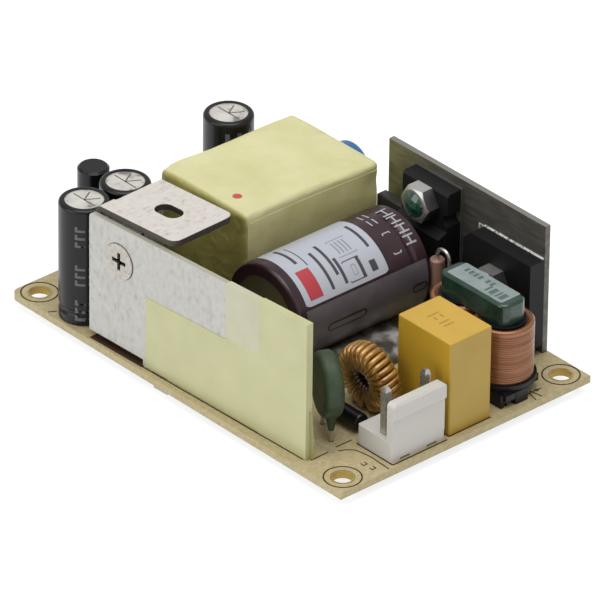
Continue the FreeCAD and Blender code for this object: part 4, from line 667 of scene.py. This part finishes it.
# %% [markdown]
# ## Copper windings
# Enamelled copper wire shines like a coated metal. The line choke has two coils of many fine turns,
# too many to wind singly. Each coil is one profile with a small swell for each turn, spun round the
# leg of the core, and a little noise keeps the turns from looking machined.

# %% Coils of the line choke
# Varnish over drawn copper gives a red-brown shine that varies from turn to turn.
copper, shader = finish("enamelled_copper", "#8C5C3E", 0.36, Metallic=0.5, Coat_Weight=0.25)
add(copper, "ValToRGB", {"Fac": (speckle(copper, 1.4, (6, 6, 0.25)), "Fac")},
    ("Color", shader, "Base Color"), stops=[(0.3, "#7A4C30"), (0.7, "#9E6C4A")])
dress(copper, "transformer_winding")

COIL_R, COIL_FLOOR, COIL_TOP, COIL_BORE = 4.72, 4.2, 13.4, 3.4
COIL_LEFT_X, COIL_RIGHT_X, COIL_Y = 60.1, 69.7, 38.6
TURNS = 22
pitch = (COIL_TOP - COIL_FLOOR - 0.7) / TURNS
for side, x in (("left", COIL_LEFT_X), ("right", COIL_RIGHT_X)):
    coil = bmesh.new()
    outline = [(COIL_BORE, COIL_FLOOR), (COIL_R - 0.15, COIL_FLOOR)]
    for n in range(TURNS):
        z = COIL_FLOOR + 0.1 + n * pitch
        swell = 0.05 * noise.noise((n * 0.9, x, 0))
        outline += [(COIL_R - 0.13, z), (COIL_R - 0.04 + swell, z + pitch * 0.25),
                    (COIL_R - 0.04 + swell, z + pitch * 0.75)]
    outline += [(COIL_R - 0.1, COIL_TOP - 0.55), (COIL_R - 0.05, COIL_TOP - 0.3), (COIL_R - 0.35, COIL_TOP),
                (COIL_R - 0.75, COIL_TOP), (COIL_R - 0.95, COIL_TOP - 0.3), (COIL_BORE, COIL_TOP - 0.35)]
    verts = [coil.verts.new((x + r, COIL_Y, z)) for r, z in outline]
    for a, b in zip(verts, verts[1:] + verts[:1]):
        coil.edges.new((a, b))
    bmesh.ops.spin(coil, geom=coil.verts[:] + coil.edges[:], cent=(x, COIL_Y, 0), axis=(0, 0, 1),
                   angle=math.tau, steps=56, use_merge=True)
    keep(coil, "choke_coil_" + side, copper, "copper_wire", "line_choke_winding_" + side, angle=60)
print("choke coils wound:", TURNS, "turns each")

# %% [markdown]
# The coils stand on a black moulded base: a round flange under each coil, a bridge between them, and
# a rail with its own pins at each end, stepped where the mould leaves room for solder. Boxes and
# drums are enough, because they overlap inside the base where nobody can look.


# %% Base of the line choke
def block(target, low, high, round_by=0.0):
    """A box between two corners, its upright edges rounded."""
    part = bmesh.new()
    bmesh.ops.create_cube(part, size=1.0)
    size = [b - a for a, b in zip(low, high)]
    middle = [(a + b) / 2 for a, b in zip(low, high)]
    place = Matrix.Translation(middle) @ Matrix.Diagonal((*size, 1))
    bmesh.ops.transform(part, matrix=place, verts=part.verts[:])
    if round_by:
        upright = [e for e in part.edges if abs(e.verts[0].co.z - e.verts[1].co.z) > 0.01]
        bmesh.ops.bevel(part, geom=upright, offset=round_by, segments=4, profile=0.5, affect="EDGES",
                        material=-1)
    join(target, part)


def drum(target, x, y, floor, top, radius):
    """An upright cylinder."""
    part = bmesh.new()
    bmesh.ops.create_cone(part, cap_ends=True, segments=48, radius1=radius, radius2=radius, depth=top - floor)
    bmesh.ops.translate(part, verts=part.verts[:], vec=(x, y, (floor + top) / 2))
    join(target, part)


work = bmesh.new()
BASE_TOP = 3.35
for x, end in ((COIL_LEFT_X, -1), (COIL_RIGHT_X, 1)):
    drum(work, x, COIL_Y, 3.3, COIL_FLOOR, 5.15)
    drum(work, x, COIL_Y, COIL_FLOOR, 13.6, 3.1)
    drum(work, x, COIL_Y, COIL_TOP, 13.6, 3.5)
    inner, outer = sorted((x, x + end * 5.2))
    block(work, (inner, 36.5, 1.25), (outer, 39.2, BASE_TOP), 0.3)
    block(work, (inner, 34.5, 2.3), (outer, 36.6, BASE_TOP), 0.3)
    block(work, (inner, 33.9, 1.25), (outer - 0.5 * (end > 0), 34.7, BASE_TOP), 0.2)
    inner, outer = sorted((x, x + end * 3.6))
    block(work, (inner, 34.3, 2.4), (outer, 42.9, 3.4), 0.5)
block(work, (COIL_LEFT_X, 34.4, 2.4), (COIL_RIGHT_X, 42.8, 4.1), 0.5)
keep(work, "choke_base", bobbin, "bobbin_black", "line_choke_bobbin", angle=40)
print("choke base built")

# %% [markdown]
# ## The ring choke
# One thick amber wire goes round and round a ring core. It could be a row of separate loops, but a
# single curve crosses the ring at the right slant by itself. Eight points make a turn, the spline
# rounds them, and each point moves a little round the ring, which leans as hand fitted ones do.

# %% Turns of the ring choke
RING = (61.4, 18.9, 7.05)
# Thicker amber varnish shines more, and inside the ring, where turns crowd, little light comes out.
amber, shader = finish("amber_enamelled_wire", "#9A7434", 0.24, Metallic=0.45, Coat_Weight=0.5)
coat = add(amber, "ValToRGB", {"Fac": (speckle(amber, 1.6), "Fac")},
           stops=[(0.3, "#82591F"), (0.7, "#BE9248")])
place = add(amber, "TexCoord")
from_middle = add(amber, "VectorMath", {0: (place, "Object"), 1: at(*RING)}, operation="DISTANCE")
outer = add(amber, "MapRange", {"Value": (from_middle, "Value"), "From Min": 1.8 * MM, "From Max": 4.4 * MM})
add(amber, "Mix", {"Factor": (outer, "Result"), 6: linear("#3A220F"), 7: (coat, "Color")},
    (2, shader, "Base Color"), data_type="RGBA")

RING_TURNS, WIRE_R = 29, 0.49
LEAN = math.radians(9)
OUTSIDE, INSIDE, HALF_WIDTH, ROUNDED = 5.25, 1.45, 1.75, 1.0
section = [(OUTSIDE, -ROUNDED), (OUTSIDE, ROUNDED), (4.7, HALF_WIDTH), (2.4, HALF_WIDTH),
           (INSIDE, ROUNDED), (INSIDE, -ROUNDED), (2.4, -HALF_WIDTH), (4.7, -HALF_WIDTH)]
GAP_IN_WINDING = 0.12
curve = bpy.data.curves.new("ring_choke_turns", "CURVE")
curve.dimensions = "3D"
curve.bevel_depth = WIRE_R * MM
curve.bevel_resolution = 3
curve.resolution_u = 4
curve.use_fill_caps = True
path = curve.splines.new("NURBS")
total = RING_TURNS * len(section)
path.points.add(total - 1)
for n in range(total):
    turn = -math.pi / 2 + GAP_IN_WINDING + (math.tau - 2 * GAP_IN_WINDING) * n / (total - 1)
    r, across = section[n % len(section)]
    layer = 0.24 * (n // len(section) % 2) if r < 2.5 else 0.0
    r += layer + 0.05 * noise.noise((n * 0.7, 0, 0))
    rise = r * math.sin(turn)
    lean_y = across * math.cos(LEAN) - rise * math.sin(LEAN)
    lean_z = across * math.sin(LEAN) + rise * math.cos(LEAN)
    spot = at(RING[0] + r * math.cos(turn), RING[1] + lean_y, RING[2] + lean_z)
    path.points[n].co = (*spot, 1)
path.order_u = 3
path.use_endpoint_u = True
curve.materials.append(amber)
turns = bpy.data.objects.new("ring_choke_turns", curve)
bpy.context.scene.collection.objects.link(turns)
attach(turns, "root")
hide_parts("toroid_winding")
print("ring choke wound:", RING_TURNS, "turns")

# %% [markdown]
# ## The taped transformer
# Yellow polyester tape is wrapped over the windings and the core and pressed down by hand. It leaves
# round corners, creases that run in from them, and straight edges where a layer ends. A cloth
# simulation would find creases of its own. These have to lie where the real ones do, so a finely
# cut box is rounded and creased point by point.

# %% Tape skin
# Polyester film is a pale, softly shining yellow, deeper on the near side where it is in shade.
tape, shader = finish("yellow_polyester_tape", "#C5C191", 0.38, Coat_Weight=0.15)
tone = add(tape, "ValToRGB", {"Fac": (speckle(tape, 7.0, detail=3), "Fac")},
           stops=[(0.3, "#C0BC88"), (0.7, "#CAC697")])
front = along(tape, "Y", -4.6, -5.1)
add(tape, "Mix", {"Factor": (front, "Result"), 6: (tone, "Color"), 7: linear("#9A9350")},
    (2, shader, "Base Color"), data_type="RGBA")
add(tape, "Bump", {"Height": (speckle(tape, 3.6, (1, 2.5, 1), 2, -0.85), "Fac"), "Strength": 0.5,
                   "Distance": 1.3 * MM}, ("Normal", shader, "Normal"))

TAPE_LOW, TAPE_HIGH = Vector((12.1, 20.1, 3.2)), Vector((31.6, 46.95, 20.85))
TAPE_ROUND = 0.85
DENT, DENT_DEPTH, DENT_WIDTH = Vector((45.6, 17.5)), 0.45, 1.3
BULGE_Y, BULGE = 23.5, 0.85
FLARE = 0.8
CREASES = (((29.5, 44.5), (25.0, 40.5), 0.5, 0.14), ((16.0, 45.5), (20.5, 37.0), 0.6, 0.14),
           ((30.0, 42.0), (24.5, 40.0), 0.4, 0.16), ((30.4, 38.5), (25.5, 37.0), 0.4, 0.14),
           ((13.0, 41.0), (17.5, 33.0), 0.5, 0.12), ((13.0, 30.0), (16.0, 25.5), 0.5, 0.12),
           ((30.9, 22.0), (30.9, 45.0), 0.3, -0.16), ((14.0, 20.7), (30.5, 20.7), 0.3, -0.14))


def near_line(p, a, b):
    """How far a point of the top is from a crease, and how far along it."""
    way = Vector(b) - Vector(a)
    share = max(0.0, min(1.0, (p - Vector(a)).dot(way) / way.length_squared))
    return (p - (Vector(a) + way * share)).length, share


def flare(y, z):
    """How far the right side stands out towards its far upper corner."""
    return FLARE * max(0.0, (y - 30) / 17) ** 1.5 * max(0.0, min(1.0, (z - 9) / 4))


def dented(y, z):
    """How far the right side is pushed in round its dent."""
    away = (Vector((y, z)) - DENT).length
    return DENT_DEPTH * math.exp(-(away / DENT_WIDTH) ** 2)


skin = bmesh.new()
bmesh.ops.create_cube(skin, size=1.0)
bmesh.ops.subdivide_edges(skin, edges=skin.edges[:], cuts=47, use_grid_fill=True)
for vert in skin.verts:
    p = Vector([TAPE_LOW[i] + (vert.co[i] + 0.5) * (TAPE_HIGH[i] - TAPE_LOW[i]) for i in range(3)])
    inner = [min(max(p[i], TAPE_LOW[i] + TAPE_ROUND), TAPE_HIGH[i] - TAPE_ROUND) for i in range(3)]
    inner = Vector(inner)
    out = p - inner
    if out.length > 1e-6 and p.z > TAPE_LOW.z + TAPE_ROUND:
        p = inner + out.normalized() * TAPE_ROUND
    top = max(0.0, min(1.0, (p.z - TAPE_HIGH.z + 2.5) / 2.5))
    flat = p.to_2d()
    corner = (flat - TAPE_LOW.to_2d()).length
    p.z -= 0.25 * math.exp(-(corner / 3.2) ** 2) * top
    if p.x < TAPE_LOW.x + 1.3:
        bulge = math.exp(-((p.y - BULGE_Y) / 4.5) ** 2) * max(0.0, min(1.0, (p.z - 8) / 8))
        p.x -= BULGE * bulge * (TAPE_LOW.x + 1.3 - p.x) / 1.3
        if p.x < 12.0 and p.y < 22:
            p.z -= 0.5 * top
    corner = (flat - Vector((TAPE_LOW.x, TAPE_HIGH.y))).length
    p.z -= 0.2 * math.exp(-(corner / 3.0) ** 2) * top
    for a, b, width, depth in CREASES:
        away, share = near_line(flat, a, b)
        p.z -= depth * (1 - share) * math.exp(-(away / width) ** 2) * top
    p.z -= top * 0.04 * (1 + noise.noise(p * 0.35))
    p.x += flare(p.y, p.z) * max(0.0, (p.x - TAPE_HIGH.x + 3) / 3)
    if p.x > TAPE_HIGH.x - 0.3:
        p.x -= dented(p.y, p.z)
        p.x -= 0.12 * max(0.0, noise.noise(p * 0.4))
    vert.co = p
keep(skin, "transformer_tape_skin", tape, "transformer_tape", "transformer_tape", angle=75)
print("tape skin creased:", len(CREASES), "creases")

# %% [markdown]
# The side of the transformer has a second layer, a little lower than the top. It is a flat grid that
# follows the same bulge and dent, so that its upper edge and near end catch the light as fine lines.

# %% Layers of tape on the sides
# One more layer of the film, with waves of about 3 mm. It is painted a little brighter, as painted light
# on the transformer's right side.
side_tape, shader = finish("yellow_polyester_tape_layer", "#CFC98F", 0.36, Coat_Weight=0.15)
add(side_tape, "ValToRGB", {"Fac": (speckle(side_tape, 5.0, detail=3), "Fac")},
    ("Color", shader, "Base Color"), stops=[(0.3, "#C6C082"), (0.7, "#D6D099")])
add(side_tape, "Bump", {"Height": (speckle(side_tape, 3.0, (1, 2, 1), 3), "Fac"), "Strength": 0.35,
                        "Distance": 0.4 * MM}, ("Normal", shader, "Normal"))
layer = bmesh.new()
bmesh.ops.create_grid(layer, x_segments=30, y_segments=12, size=0.5)
ends = [v for v in layer.verts if len(v.link_edges) == 2 and v.co.x < 0 and v.co.y > 0]
for vert in layer.verts:
    y = 20.6 + (vert.co.x + 0.5) * 25.8
    z = 3.6 + (vert.co.y + 0.5) * 15.9
    seam = 0.12 * math.exp(-((y - 21.1) / 0.35) ** 2)
    lift = 0.05 + 0.1 * max(0.0, noise.noise((y * 0.3, z * 0.5, 2))) + seam
    vert.co = (TAPE_HIGH.x + flare(y, z) + lift - dented(y, z), y, z)
bmesh.ops.bevel(layer, geom=ends, offset=0.8, segments=4, profile=0.5, affect="VERTICES", material=-1)
bmesh.ops.solidify(layer, geom=layer.faces[:], thickness=0.1)
keep(layer, "transformer_tape_side", side_tape, "transformer_tape")

# A dab of marking ink is an uneven red.
dot_ink, shader = finish("red_marking_ink", "#B0423A", 0.45)
add(dot_ink, "ValToRGB", {"Fac": (speckle(dot_ink, 0.4), "Fac")}, ("Color", shader, "Base Color"),
    stops=[(0.3, "#A33A34"), (0.7, "#C0574C")])
dot = bmesh.new()
bmesh.ops.create_circle(dot, cap_ends=True, segments=14, radius=0.78)
for vert in dot.verts:
    vert.co *= 1 + 0.13 * noise.noise(vert.co * 1.3)
bmesh.ops.scale(dot, vec=(1.0, 0.95, 1), verts=dot.verts[:])
bmesh.ops.translate(dot, vec=(26.0, 23.4, 20.8), verts=dot.verts[:])
bmesh.ops.solidify(dot, geom=dot.faces[:], thickness=-0.04)
keep(dot, "transformer_test_dot", dot_ink, "transformer_tape")
print("tape layers and test dot laid")

# %% [markdown]
# ## Tape on the left heatsink
# The plate is partly covered by the same yellow tape, in flat layers that the solids already have.
# One loose end stands out from the plate's right end: a small grid, bent and given a thickness.

# %% Heatsink tape
# Film stuck flat on metal is even, with a few dark specks of dirt.
plate_tape, shader = finish("heatsink_tape", "#B0AF84", 0.36, Coat_Weight=0.15)
tone = add(plate_tape, "ValToRGB", {"Fac": (speckle(plate_tape, 6.0, detail=3), "Fac")},
           stops=[(0.3, "#ADAC80"), (0.7, "#B4B388")])
dirt = add(plate_tape, "ValToRGB", {"Fac": (speckle(plate_tape, 1.4, (1, 1, 2), 6), "Fac")},
           stops=[(0.70, "#000000"), (0.76, "#FFFFFF")])
add(plate_tape, "Mix", {"Factor": (dirt, "Color"), 6: (tone, "Color"), 7: linear("#96935F")},
    (2, shader, "Base Color"), data_type="RGBA")
add(plate_tape, "Bump", {"Height": (speckle(plate_tape, 4.0, (1, 1, 2), 2), "Fac"), "Strength": 0.2,
                         "Distance": 0.05 * MM}, ("Normal", shader, "Normal"))
dress(plate_tape, "heatsink_tape_strip", "heatsink_tape_end")

# Where the film lies alone on bare metal, the grey shows through it.
thin_tape, shader = finish("heatsink_tape_single_layer", "#B2B09A", 0.36, Coat_Weight=0.15)
over_metal = add(thin_tape, "ValToRGB", {"Fac": (speckle(thin_tape, 3.0, detail=4), "Fac")},
                 stops=[(0.3, "#AFAD92"), (0.7, "#B5B39A")])
over_strip = add(thin_tape, "ValToRGB", {"Fac": (speckle(thin_tape, 6.0, detail=3), "Fac")},
                 stops=[(0.3, "#ADAC80"), (0.7, "#B4B388")])
add(thin_tape, "Mix", {"Factor": (along(thin_tape, "Z", 16.2, 16.5), "Result"), 6: (over_strip, "Color"),
                       7: (over_metal, "Color")}, (2, shader, "Base Color"), data_type="RGBA")
dress(thin_tape, "heatsink_tape_wrap")

# The loose end stands in shade and looks a darker olive yellow.
loose_tape, shader = finish("loose_tape_end", "#8D8A52", 0.4)
add(loose_tape, "Bump", {"Height": (speckle(loose_tape, 2.0), "Fac"), "Strength": 0.2,
                         "Distance": 0.05 * MM}, ("Normal", shader, "Normal"))
flap = bmesh.new()
bmesh.ops.create_grid(flap, x_segments=4, y_segments=12, size=0.5)
for vert in flap.verts:
    across, height = vert.co.x + 0.5, vert.co.y + 0.5
    wave = 0.1 * math.sin(height * 5)
    vert.co = (66.0 + across * (0.75 - 0.3 * height), 2.75 + 0.25 * across + wave, 1.3 + height * 8.2)
bmesh.ops.solidify(flap, geom=flap.faces[:], thickness=0.07)
keep(flap, "heatsink_tape_flap", loose_tape, "heatsink_tape")
print("heatsink tape dressed, with its loose end")

# %% [markdown]
# ## The label on the large capacitor
# A white label with rounded corners is stuck round the can. Nothing on it is written here: plain
# bars and boxes stand in the places of its print. Flat work is cut first and then rolled on the
# can, because corners and frames are easy to bevel and inset while the sheet is flat.

# %% Capacitor label
CAN_X, CAN_Z, CAN_R = 41.15, 9.7, 8.4
FILM = 0.05
ON_FILM = 0.06
INK = 0.02


def round_can(angle):
    """Millimetres round the can for an angle from its top."""
    return math.radians(angle) * CAN_R


# Coated label film is an even cool white with a soft shine.
paper_label, shader = finish("white_label_film", "#A9ACB5", 0.35, Coat_Weight=0.2)
add(paper_label, "Bump", {"Height": (speckle(paper_label, 3.0), "Fac"), "Strength": 0.2,
                          "Distance": 0.03 * MM}, ("Normal", shader, "Normal"))
label = bmesh.new()
tile(label, (17.6, round_can(-31)), (34.3, round_can(63)), 1.1, cuts=26, thick=FILM)
roll(label, CAN_X, CAN_Z, CAN_R)
keep(label, "capacitor_label", paper_label, "sleeve_maroon", angle=60)

# Printed ink is flat in colour, with hardly any shine.
red_print, shader = finish("red_label_print", "#A8323A", 0.4)
add(red_print, "Bump", {"Height": (speckle(red_print, 1.0), "Fac"), "Strength": 0.2,
                        "Distance": 0.01 * MM}, ("Normal", shader, "Normal"))
patch = bmesh.new()
tile(patch, (18.7, round_can(23.5)), (21.3, round_can(57.5)), cuts=10, base=ON_FILM)
roll(patch, CAN_X, CAN_Z, CAN_R)
keep(patch, "label_red_block", red_print, "sleeve_maroon")

# The same flat ink in near black.
print_ink, shader = finish("dark_label_print", "#3B3A40", 0.45)
add(print_ink, "Bump", {"Height": (speckle(print_ink, 0.4), "Fac"), "Strength": 0.2,
                        "Distance": 0.01 * MM}, ("Normal", shader, "Normal"))
marks = bmesh.new()
for y, start, end in ((19.9, -22, 14), (23.2, 8, 56), (25.0, 2, 44), (25.9, 26, 56), (32.6, -8, 30)):
    tile(marks, (y, round_can(start)), (y + 0.55, round_can(end)), cuts=10, base=ON_FILM, thick=INK)
tile(marks, (21.5, round_can(-17)), (21.7, round_can(21)), cuts=10, base=ON_FILM, thick=INK)
tile(marks, (26.9, round_can(33.5)), (30.2, round_can(58)), 0.2, 0.16, base=ON_FILM, thick=INK)
tile(marks, (29.5, round_can(33.5)), (30.1, round_can(58)), cuts=6, base=0.07, thick=INK)
tile(marks, (31.4, round_can(44)), (32.6, round_can(56)), cuts=4, base=ON_FILM, thick=INK)
roll(marks, CAN_X, CAN_Z, CAN_R)
keep(marks, "label_bars", print_ink, "sleeve_maroon")

# Finer print that reads as grey from a step away.
grey_print, shader = finish("grey_label_print", "#7E8189", 0.45)
add(grey_print, "Bump", {"Height": (speckle(grey_print, 0.4), "Fac"), "Strength": 0.2,
                         "Distance": 0.01 * MM}, ("Normal", shader, "Normal"))
marks = bmesh.new()
tile(marks, (27.2, round_can(4)), (30.8, round_can(29)), 0.15, 0.14, base=ON_FILM, thick=INK)
for n in range(4):
    x = 27.7 + 0.72 * n
    tile(marks, (x, round_can(8)), (x + 0.25, round_can(25)), cuts=4, base=ON_FILM, thick=INK)
tile(marks, (28.0, round_can(40)), (28.9, round_can(52)), 0.3, 0.12, base=ON_FILM, thick=INK)
roll(marks, CAN_X, CAN_Z, CAN_R)
keep(marks, "label_grey_boxes", grey_print, "sleeve_maroon")
print("label stuck on the large capacitor")

# %% [markdown]
# The sleeve itself is printed too: a grey stripe along the can that marks one of its leads, with a
# row of dark outlined dashes, and pale marks near the far end. The pale marks are plain shapes, cut
# flat and rolled on like the label.

# %% Print on the sleeve
# Ink laid on the film before it shrank keeps the sleeve's waves and some of its shine.
stripe_ink, shader = finish("grey_sleeve_stripe", "#4E4A50", 0.32, Coat_Weight=0.2)
add(stripe_ink, "ValToRGB", {"Fac": (speckle(stripe_ink, 4.0), "Fac")}, ("Color", shader, "Base Color"),
    stops=[(0.3, "#544E53"), (0.7, "#615B5F")])
add(stripe_ink, "Bump", {"Height": (speckle(stripe_ink, 4.0, (1, 2, 1)), "Fac"), "Strength": 0.25,
                         "Distance": 0.05 * MM}, ("Normal", shader, "Normal"))
stripe = bmesh.new()
tile(stripe, (17.3, round_can(66)), (41.6, round_can(128)), cuts=18, base=0.005, thick=INK)
roll(stripe, CAN_X, CAN_Z, CAN_R)
keep(stripe, "sleeve_stripe", stripe_ink, "sleeve_maroon", angle=60)

# Dark ink on the stripe, a little duller than the film.
dash_ink, shader = finish("dark_stripe_print", "#241C20", 0.35)
add(dash_ink, "Bump", {"Height": (speckle(dash_ink, 0.5), "Fac"), "Strength": 0.2, "Distance": 0.01 * MM},
    ("Normal", shader, "Normal"))
dashes = bmesh.new()
for start, end in ((21.1, 29.1), (38.4, 41.45)):
    tile(dashes, (start, round_can(89.5)), (end, round_can(100)), 0.74, 0.3, base=0.03, thick=INK)
roll(dashes, CAN_X, CAN_Z, CAN_R)
keep(dashes, "stripe_dashes", dash_ink, "sleeve_maroon")

# Pale ink on maroon film, slightly faded.
pale_print, shader = finish("pale_sleeve_print", "#A39EA6", 0.4)
add(pale_print, "Bump", {"Height": (speckle(pale_print, 0.5), "Fac"), "Strength": 0.2,
                         "Distance": 0.01 * MM}, ("Normal", shader, "Normal"))
marks = bmesh.new()
tile(marks, (36.3, round_can(23)), (37.9, round_can(50)), 0.25, 0.2, cuts=1, base=0.01, thick=INK)
for start, end in ((-16, -5), (-1, 9)):
    tile(marks, (36.2, round_can(start)), (36.45, round_can(end)), cuts=3, base=0.01, thick=INK)
    tile(marks, (37.3, round_can(start)), (37.55, round_can(end)), cuts=3, base=0.01, thick=INK)
for start, end in ((-9, 3), (7, 16), (21, 30), (35, 44)):
    tile(marks, (39.2, round_can(start)), (41.2, round_can(start) + 0.28), base=0.01, thick=INK)
    tile(marks, (39.2, round_can(end)), (41.2, round_can(end) + 0.28), base=0.01, thick=INK)
    tile(marks, (40.1, round_can(start)), (40.38, round_can(end)), cuts=3, base=0.01, thick=INK)
roll(marks, CAN_X, CAN_Z, CAN_R)
keep(marks, "sleeve_pale_marks", pale_print, "sleeve_maroon")
print("sleeve printed")

# %% [markdown]
# ## Small labels
# The green bar of the line choke carries a pale paper label. The yellow box has a faint pressed mark
# on its top. Both are flat plates laid on the top faces.

# %% Choke label and small marks
# Thin paper over a green coat is tinted by it.
choke_label, shader = finish("pale_green_label", "#7C8887", 0.4)
add(choke_label, "ValToRGB", {"Fac": (speckle(choke_label, 1.5), "Fac")}, ("Color", shader, "Base Color"),
    stops=[(0.3, "#768280"), (0.7, "#86918F")])
CHOKE_TOP = 17.2
work = bmesh.new()
tile(work, (58.85, 36.7), (70.95, 40.75), 0.3)
lay_on(work, CHOKE_TOP)
keep(work, "choke_label", choke_label, "core_green")

# Rubbed ink is a faint grey.
faint_ink, shader = finish("faint_label_print", "#505B5B", 0.45)
add(faint_ink, "Bump", {"Height": (speckle(faint_ink, 0.4), "Fac"), "Strength": 0.2,
                        "Distance": 0.01 * MM}, ("Normal", shader, "Normal"))
work = bmesh.new()
for x in (60.2, 61.2, 62.2, 63.2, 64.8, 65.8):
    tile(work, (x, 38.9), (x + 0.6, 39.9), thick=INK, base=0.05)
for x, width in ((66.4, 0.4), (67.3, 0.9), (68.7, 0.4), (69.4, 0.9)):
    tile(work, (x, 37.3), (x + width, 39.0), thick=INK, base=0.05)
lay_on(work, CHOKE_TOP)
keep(work, "choke_label_bars", faint_ink, "core_green")

# A pressed mark holds a little shade, so it is a darker yellow.
pressed, shader = finish("pressed_box_mark", "#A17E31", 0.5)
add(pressed, "Bump", {"Height": (speckle(pressed, 0.4), "Fac"), "Strength": 0.2, "Distance": 0.01 * MM},
    ("Normal", shader, "Normal"))
work = bmesh.new()
for x, y, width, depth in ((66.6, 25.6, 0.3, 2.2), (67.4, 26.0, 0.9, 0.3), (67.4, 27.3, 0.9, 0.3),
                           (69.2, 25.6, 0.3, 2.0), (70.2, 25.6, 0.3, 2.0)):
    tile(work, (x, y), (x + width, y + depth), thick=INK)
lay_on(work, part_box("box_capacitor")[1][2] / MM - BOARD_FLOOR)
keep(work, "box_pressed_mark", pressed, "box_yellow")
print("small labels laid")

# %% [markdown]
# ## Print and grooves on the upright capacitors
# The black sleeves carry grey print, here plain bars, and each bare top is scored with three lines
# that would burst open first. A tile that lies along the can stays flat, so across the can the bars
# are cut narrow: a wide one would sink into the round sleeve.


# %% Upright capacitors
CANS = {"front": (12.4, 4.4), "middle": (12.3, 12.7), "rear": (6.9, 38.4)}
UPRIGHT_R = 4.0


def roll_upright(mesh, x, y, radius):
    """Rolls flat work (round the can from its right side in millimetres, height, proud) on an upright can."""
    for vert in mesh.verts:
        round_the_can, height, proud = vert.co
        turn = round_the_can / radius
        vert.co = (x + (radius + proud) * math.cos(turn), y + (radius + proud) * math.sin(turn), height)


# Grey ink on black film is hard to make out.
dull_print, shader = finish("dull_sleeve_print", "#55555A", 0.45)
add(dull_print, "Bump", {"Height": (speckle(dull_print, 0.5), "Fac"), "Strength": 0.2,
                         "Distance": 0.01 * MM}, ("Normal", shader, "Normal"))
work = bmesh.new()
for start in (-3.4, -3.04, -1.5, -1.14, 0.5, 0.86):
    for floor, height in ((11.0, 0.4), (12.2, 1.4), (14.4, 0.4), (15.6, 1.4), (17.8, 0.4), (18.6, 1.3)):
        tile(work, (start, floor), (start + 0.37, floor + height), cuts=1, thick=INK)
roll_upright(work, *CANS["rear"], UPRIGHT_R)
keep(work, "rear_sleeve_marks", dull_print, "sleeve_black")

work = bmesh.new()
for floor in (2.2, 8.4, 15.2):
    for step in range(3):
        z = floor + 1.35 * step
        tile(work, (-4.3, z), (-3.9, z + 0.95), cuts=1, thick=INK)
        for start in (-3.9, -3.5, -3.1):
            tile(work, (start, z), (start + 0.4, z + 0.42), cuts=1, thick=INK)
        tile(work, (-2.2, z + 0.2), (-1.8, z + 0.55), cuts=1, thick=INK)
        tile(work, (-1.8, z + 0.2), (-1.4, z + 0.55), cuts=1, thick=INK)
roll_upright(work, *CANS["front"], UPRIGHT_R)
keep(work, "front_sleeve_marks", dull_print, "sleeve_black")

# A scored groove holds a thin line of shade.
vent_ink, shader = finish("dark_vent_groove", "#57534C", 0.5)
add(vent_ink, "Bump", {"Height": (speckle(vent_ink, 0.4), "Fac"), "Strength": 0.2, "Distance": 0.01 * MM},
    ("Normal", shader, "Normal"))
work = bmesh.new()
GROOVE = 2.5
for node, (x, y) in CANS.items():
    cross = bmesh.new()
    for angle in (0, 60, 120):
        way = (math.cos(math.radians(angle)), math.sin(math.radians(angle)))
        start = -GROOVE if angle == 0 else 0.0
        stroke(cross, (start * way[0], start * way[1]), (GROOVE * way[0], GROOVE * way[1]), 0.22)
    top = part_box("output_capacitor_" + node)[1][2] / MM - BOARD_FLOOR
    bmesh.ops.translate(cross, verts=cross.verts[:], vec=(x, y, top - 0.02))
    join(work, cross)
keep(work, "can_vent_lines", vent_ink, "can_aluminium")
print("upright capacitors marked")

# %% [markdown]
# ## Light and floor
# A plain white studio: an even pale world, one broad lamp overhead and one to the left of the
# camera. The floor keeps the part's shadow, and reads as pure white paper where the camera, a glossy
# surface or a clear one sees it.


# %% Studio
def lamp(name, place, size, energy):
    """A square soft lamp that points at the part."""
    data = bpy.data.lights.new(name, "AREA")
    data.size = size
    data.energy = energy
    made = bpy.data.objects.new(name, data)
    made.location = place
    made.rotation_euler = (Vector((0, 0, 0.01)) - Vector(place)).to_track_quat("-Z", "Y").to_euler()
    bpy.context.scene.collection.objects.link(made)


lamp("overhead", (0.05, -0.05, 0.60), 0.5, 2.6)
lamp("front_left", (-0.15, -0.60, 0.30), 0.5, 1.5)
lamp("right_end", (0.60, 0.15, 0.30), 0.4, 0.15)
world = bpy.data.worlds.new("studio")
bpy.context.scene.world = world
world.use_nodes = True
sky = world.node_tree.nodes["Background"]
sky.inputs["Color"].default_value = (1, 1, 1, 1)
sky.inputs["Strength"].default_value = 0.6

sheet = bmesh.new()
bmesh.ops.create_grid(sheet, x_segments=1, y_segments=1, size=1.5)
floor_mesh = bpy.data.meshes.new("floor")
sheet.to_mesh(floor_mesh)
sheet.free()
floor = bpy.data.objects.new("floor", floor_mesh)
bpy.context.scene.collection.objects.link(floor)
# Matt paper, for the floor.
paper, shader = finish("white_paper", "#F4F4F4", 0.9)
ray = add(paper, "LightPath")
seen = add(paper, "Math", {0: (ray, "Is Camera Ray"), 1: (ray, "Is Transmission Ray")}, operation="MAXIMUM")
seen = add(paper, "Math", {0: (seen, "Value"), 1: (ray, "Is Glossy Ray")}, operation="MAXIMUM")
glow = add(paper, "Emission", {"Color": (1, 1, 1, 1), "Strength": 0.8})
thin_paper = add(paper, "BsdfDiffuse", {"Color": linear("#A0A0A0")})
white = add(paper, "AddShader", {0: (glow, "Emission"), 1: (thin_paper, "BSDF")})
mixed = add(paper, "MixShader", {0: (seen, "Value"), 1: (shader, "BSDF"), 2: (white, "Shader")})
paper.node_tree.links.new(mixed.outputs["Shader"], paper.node_tree.nodes["Material Output"].inputs["Surface"])
floor_mesh.materials.append(paper)
print("studio lit")
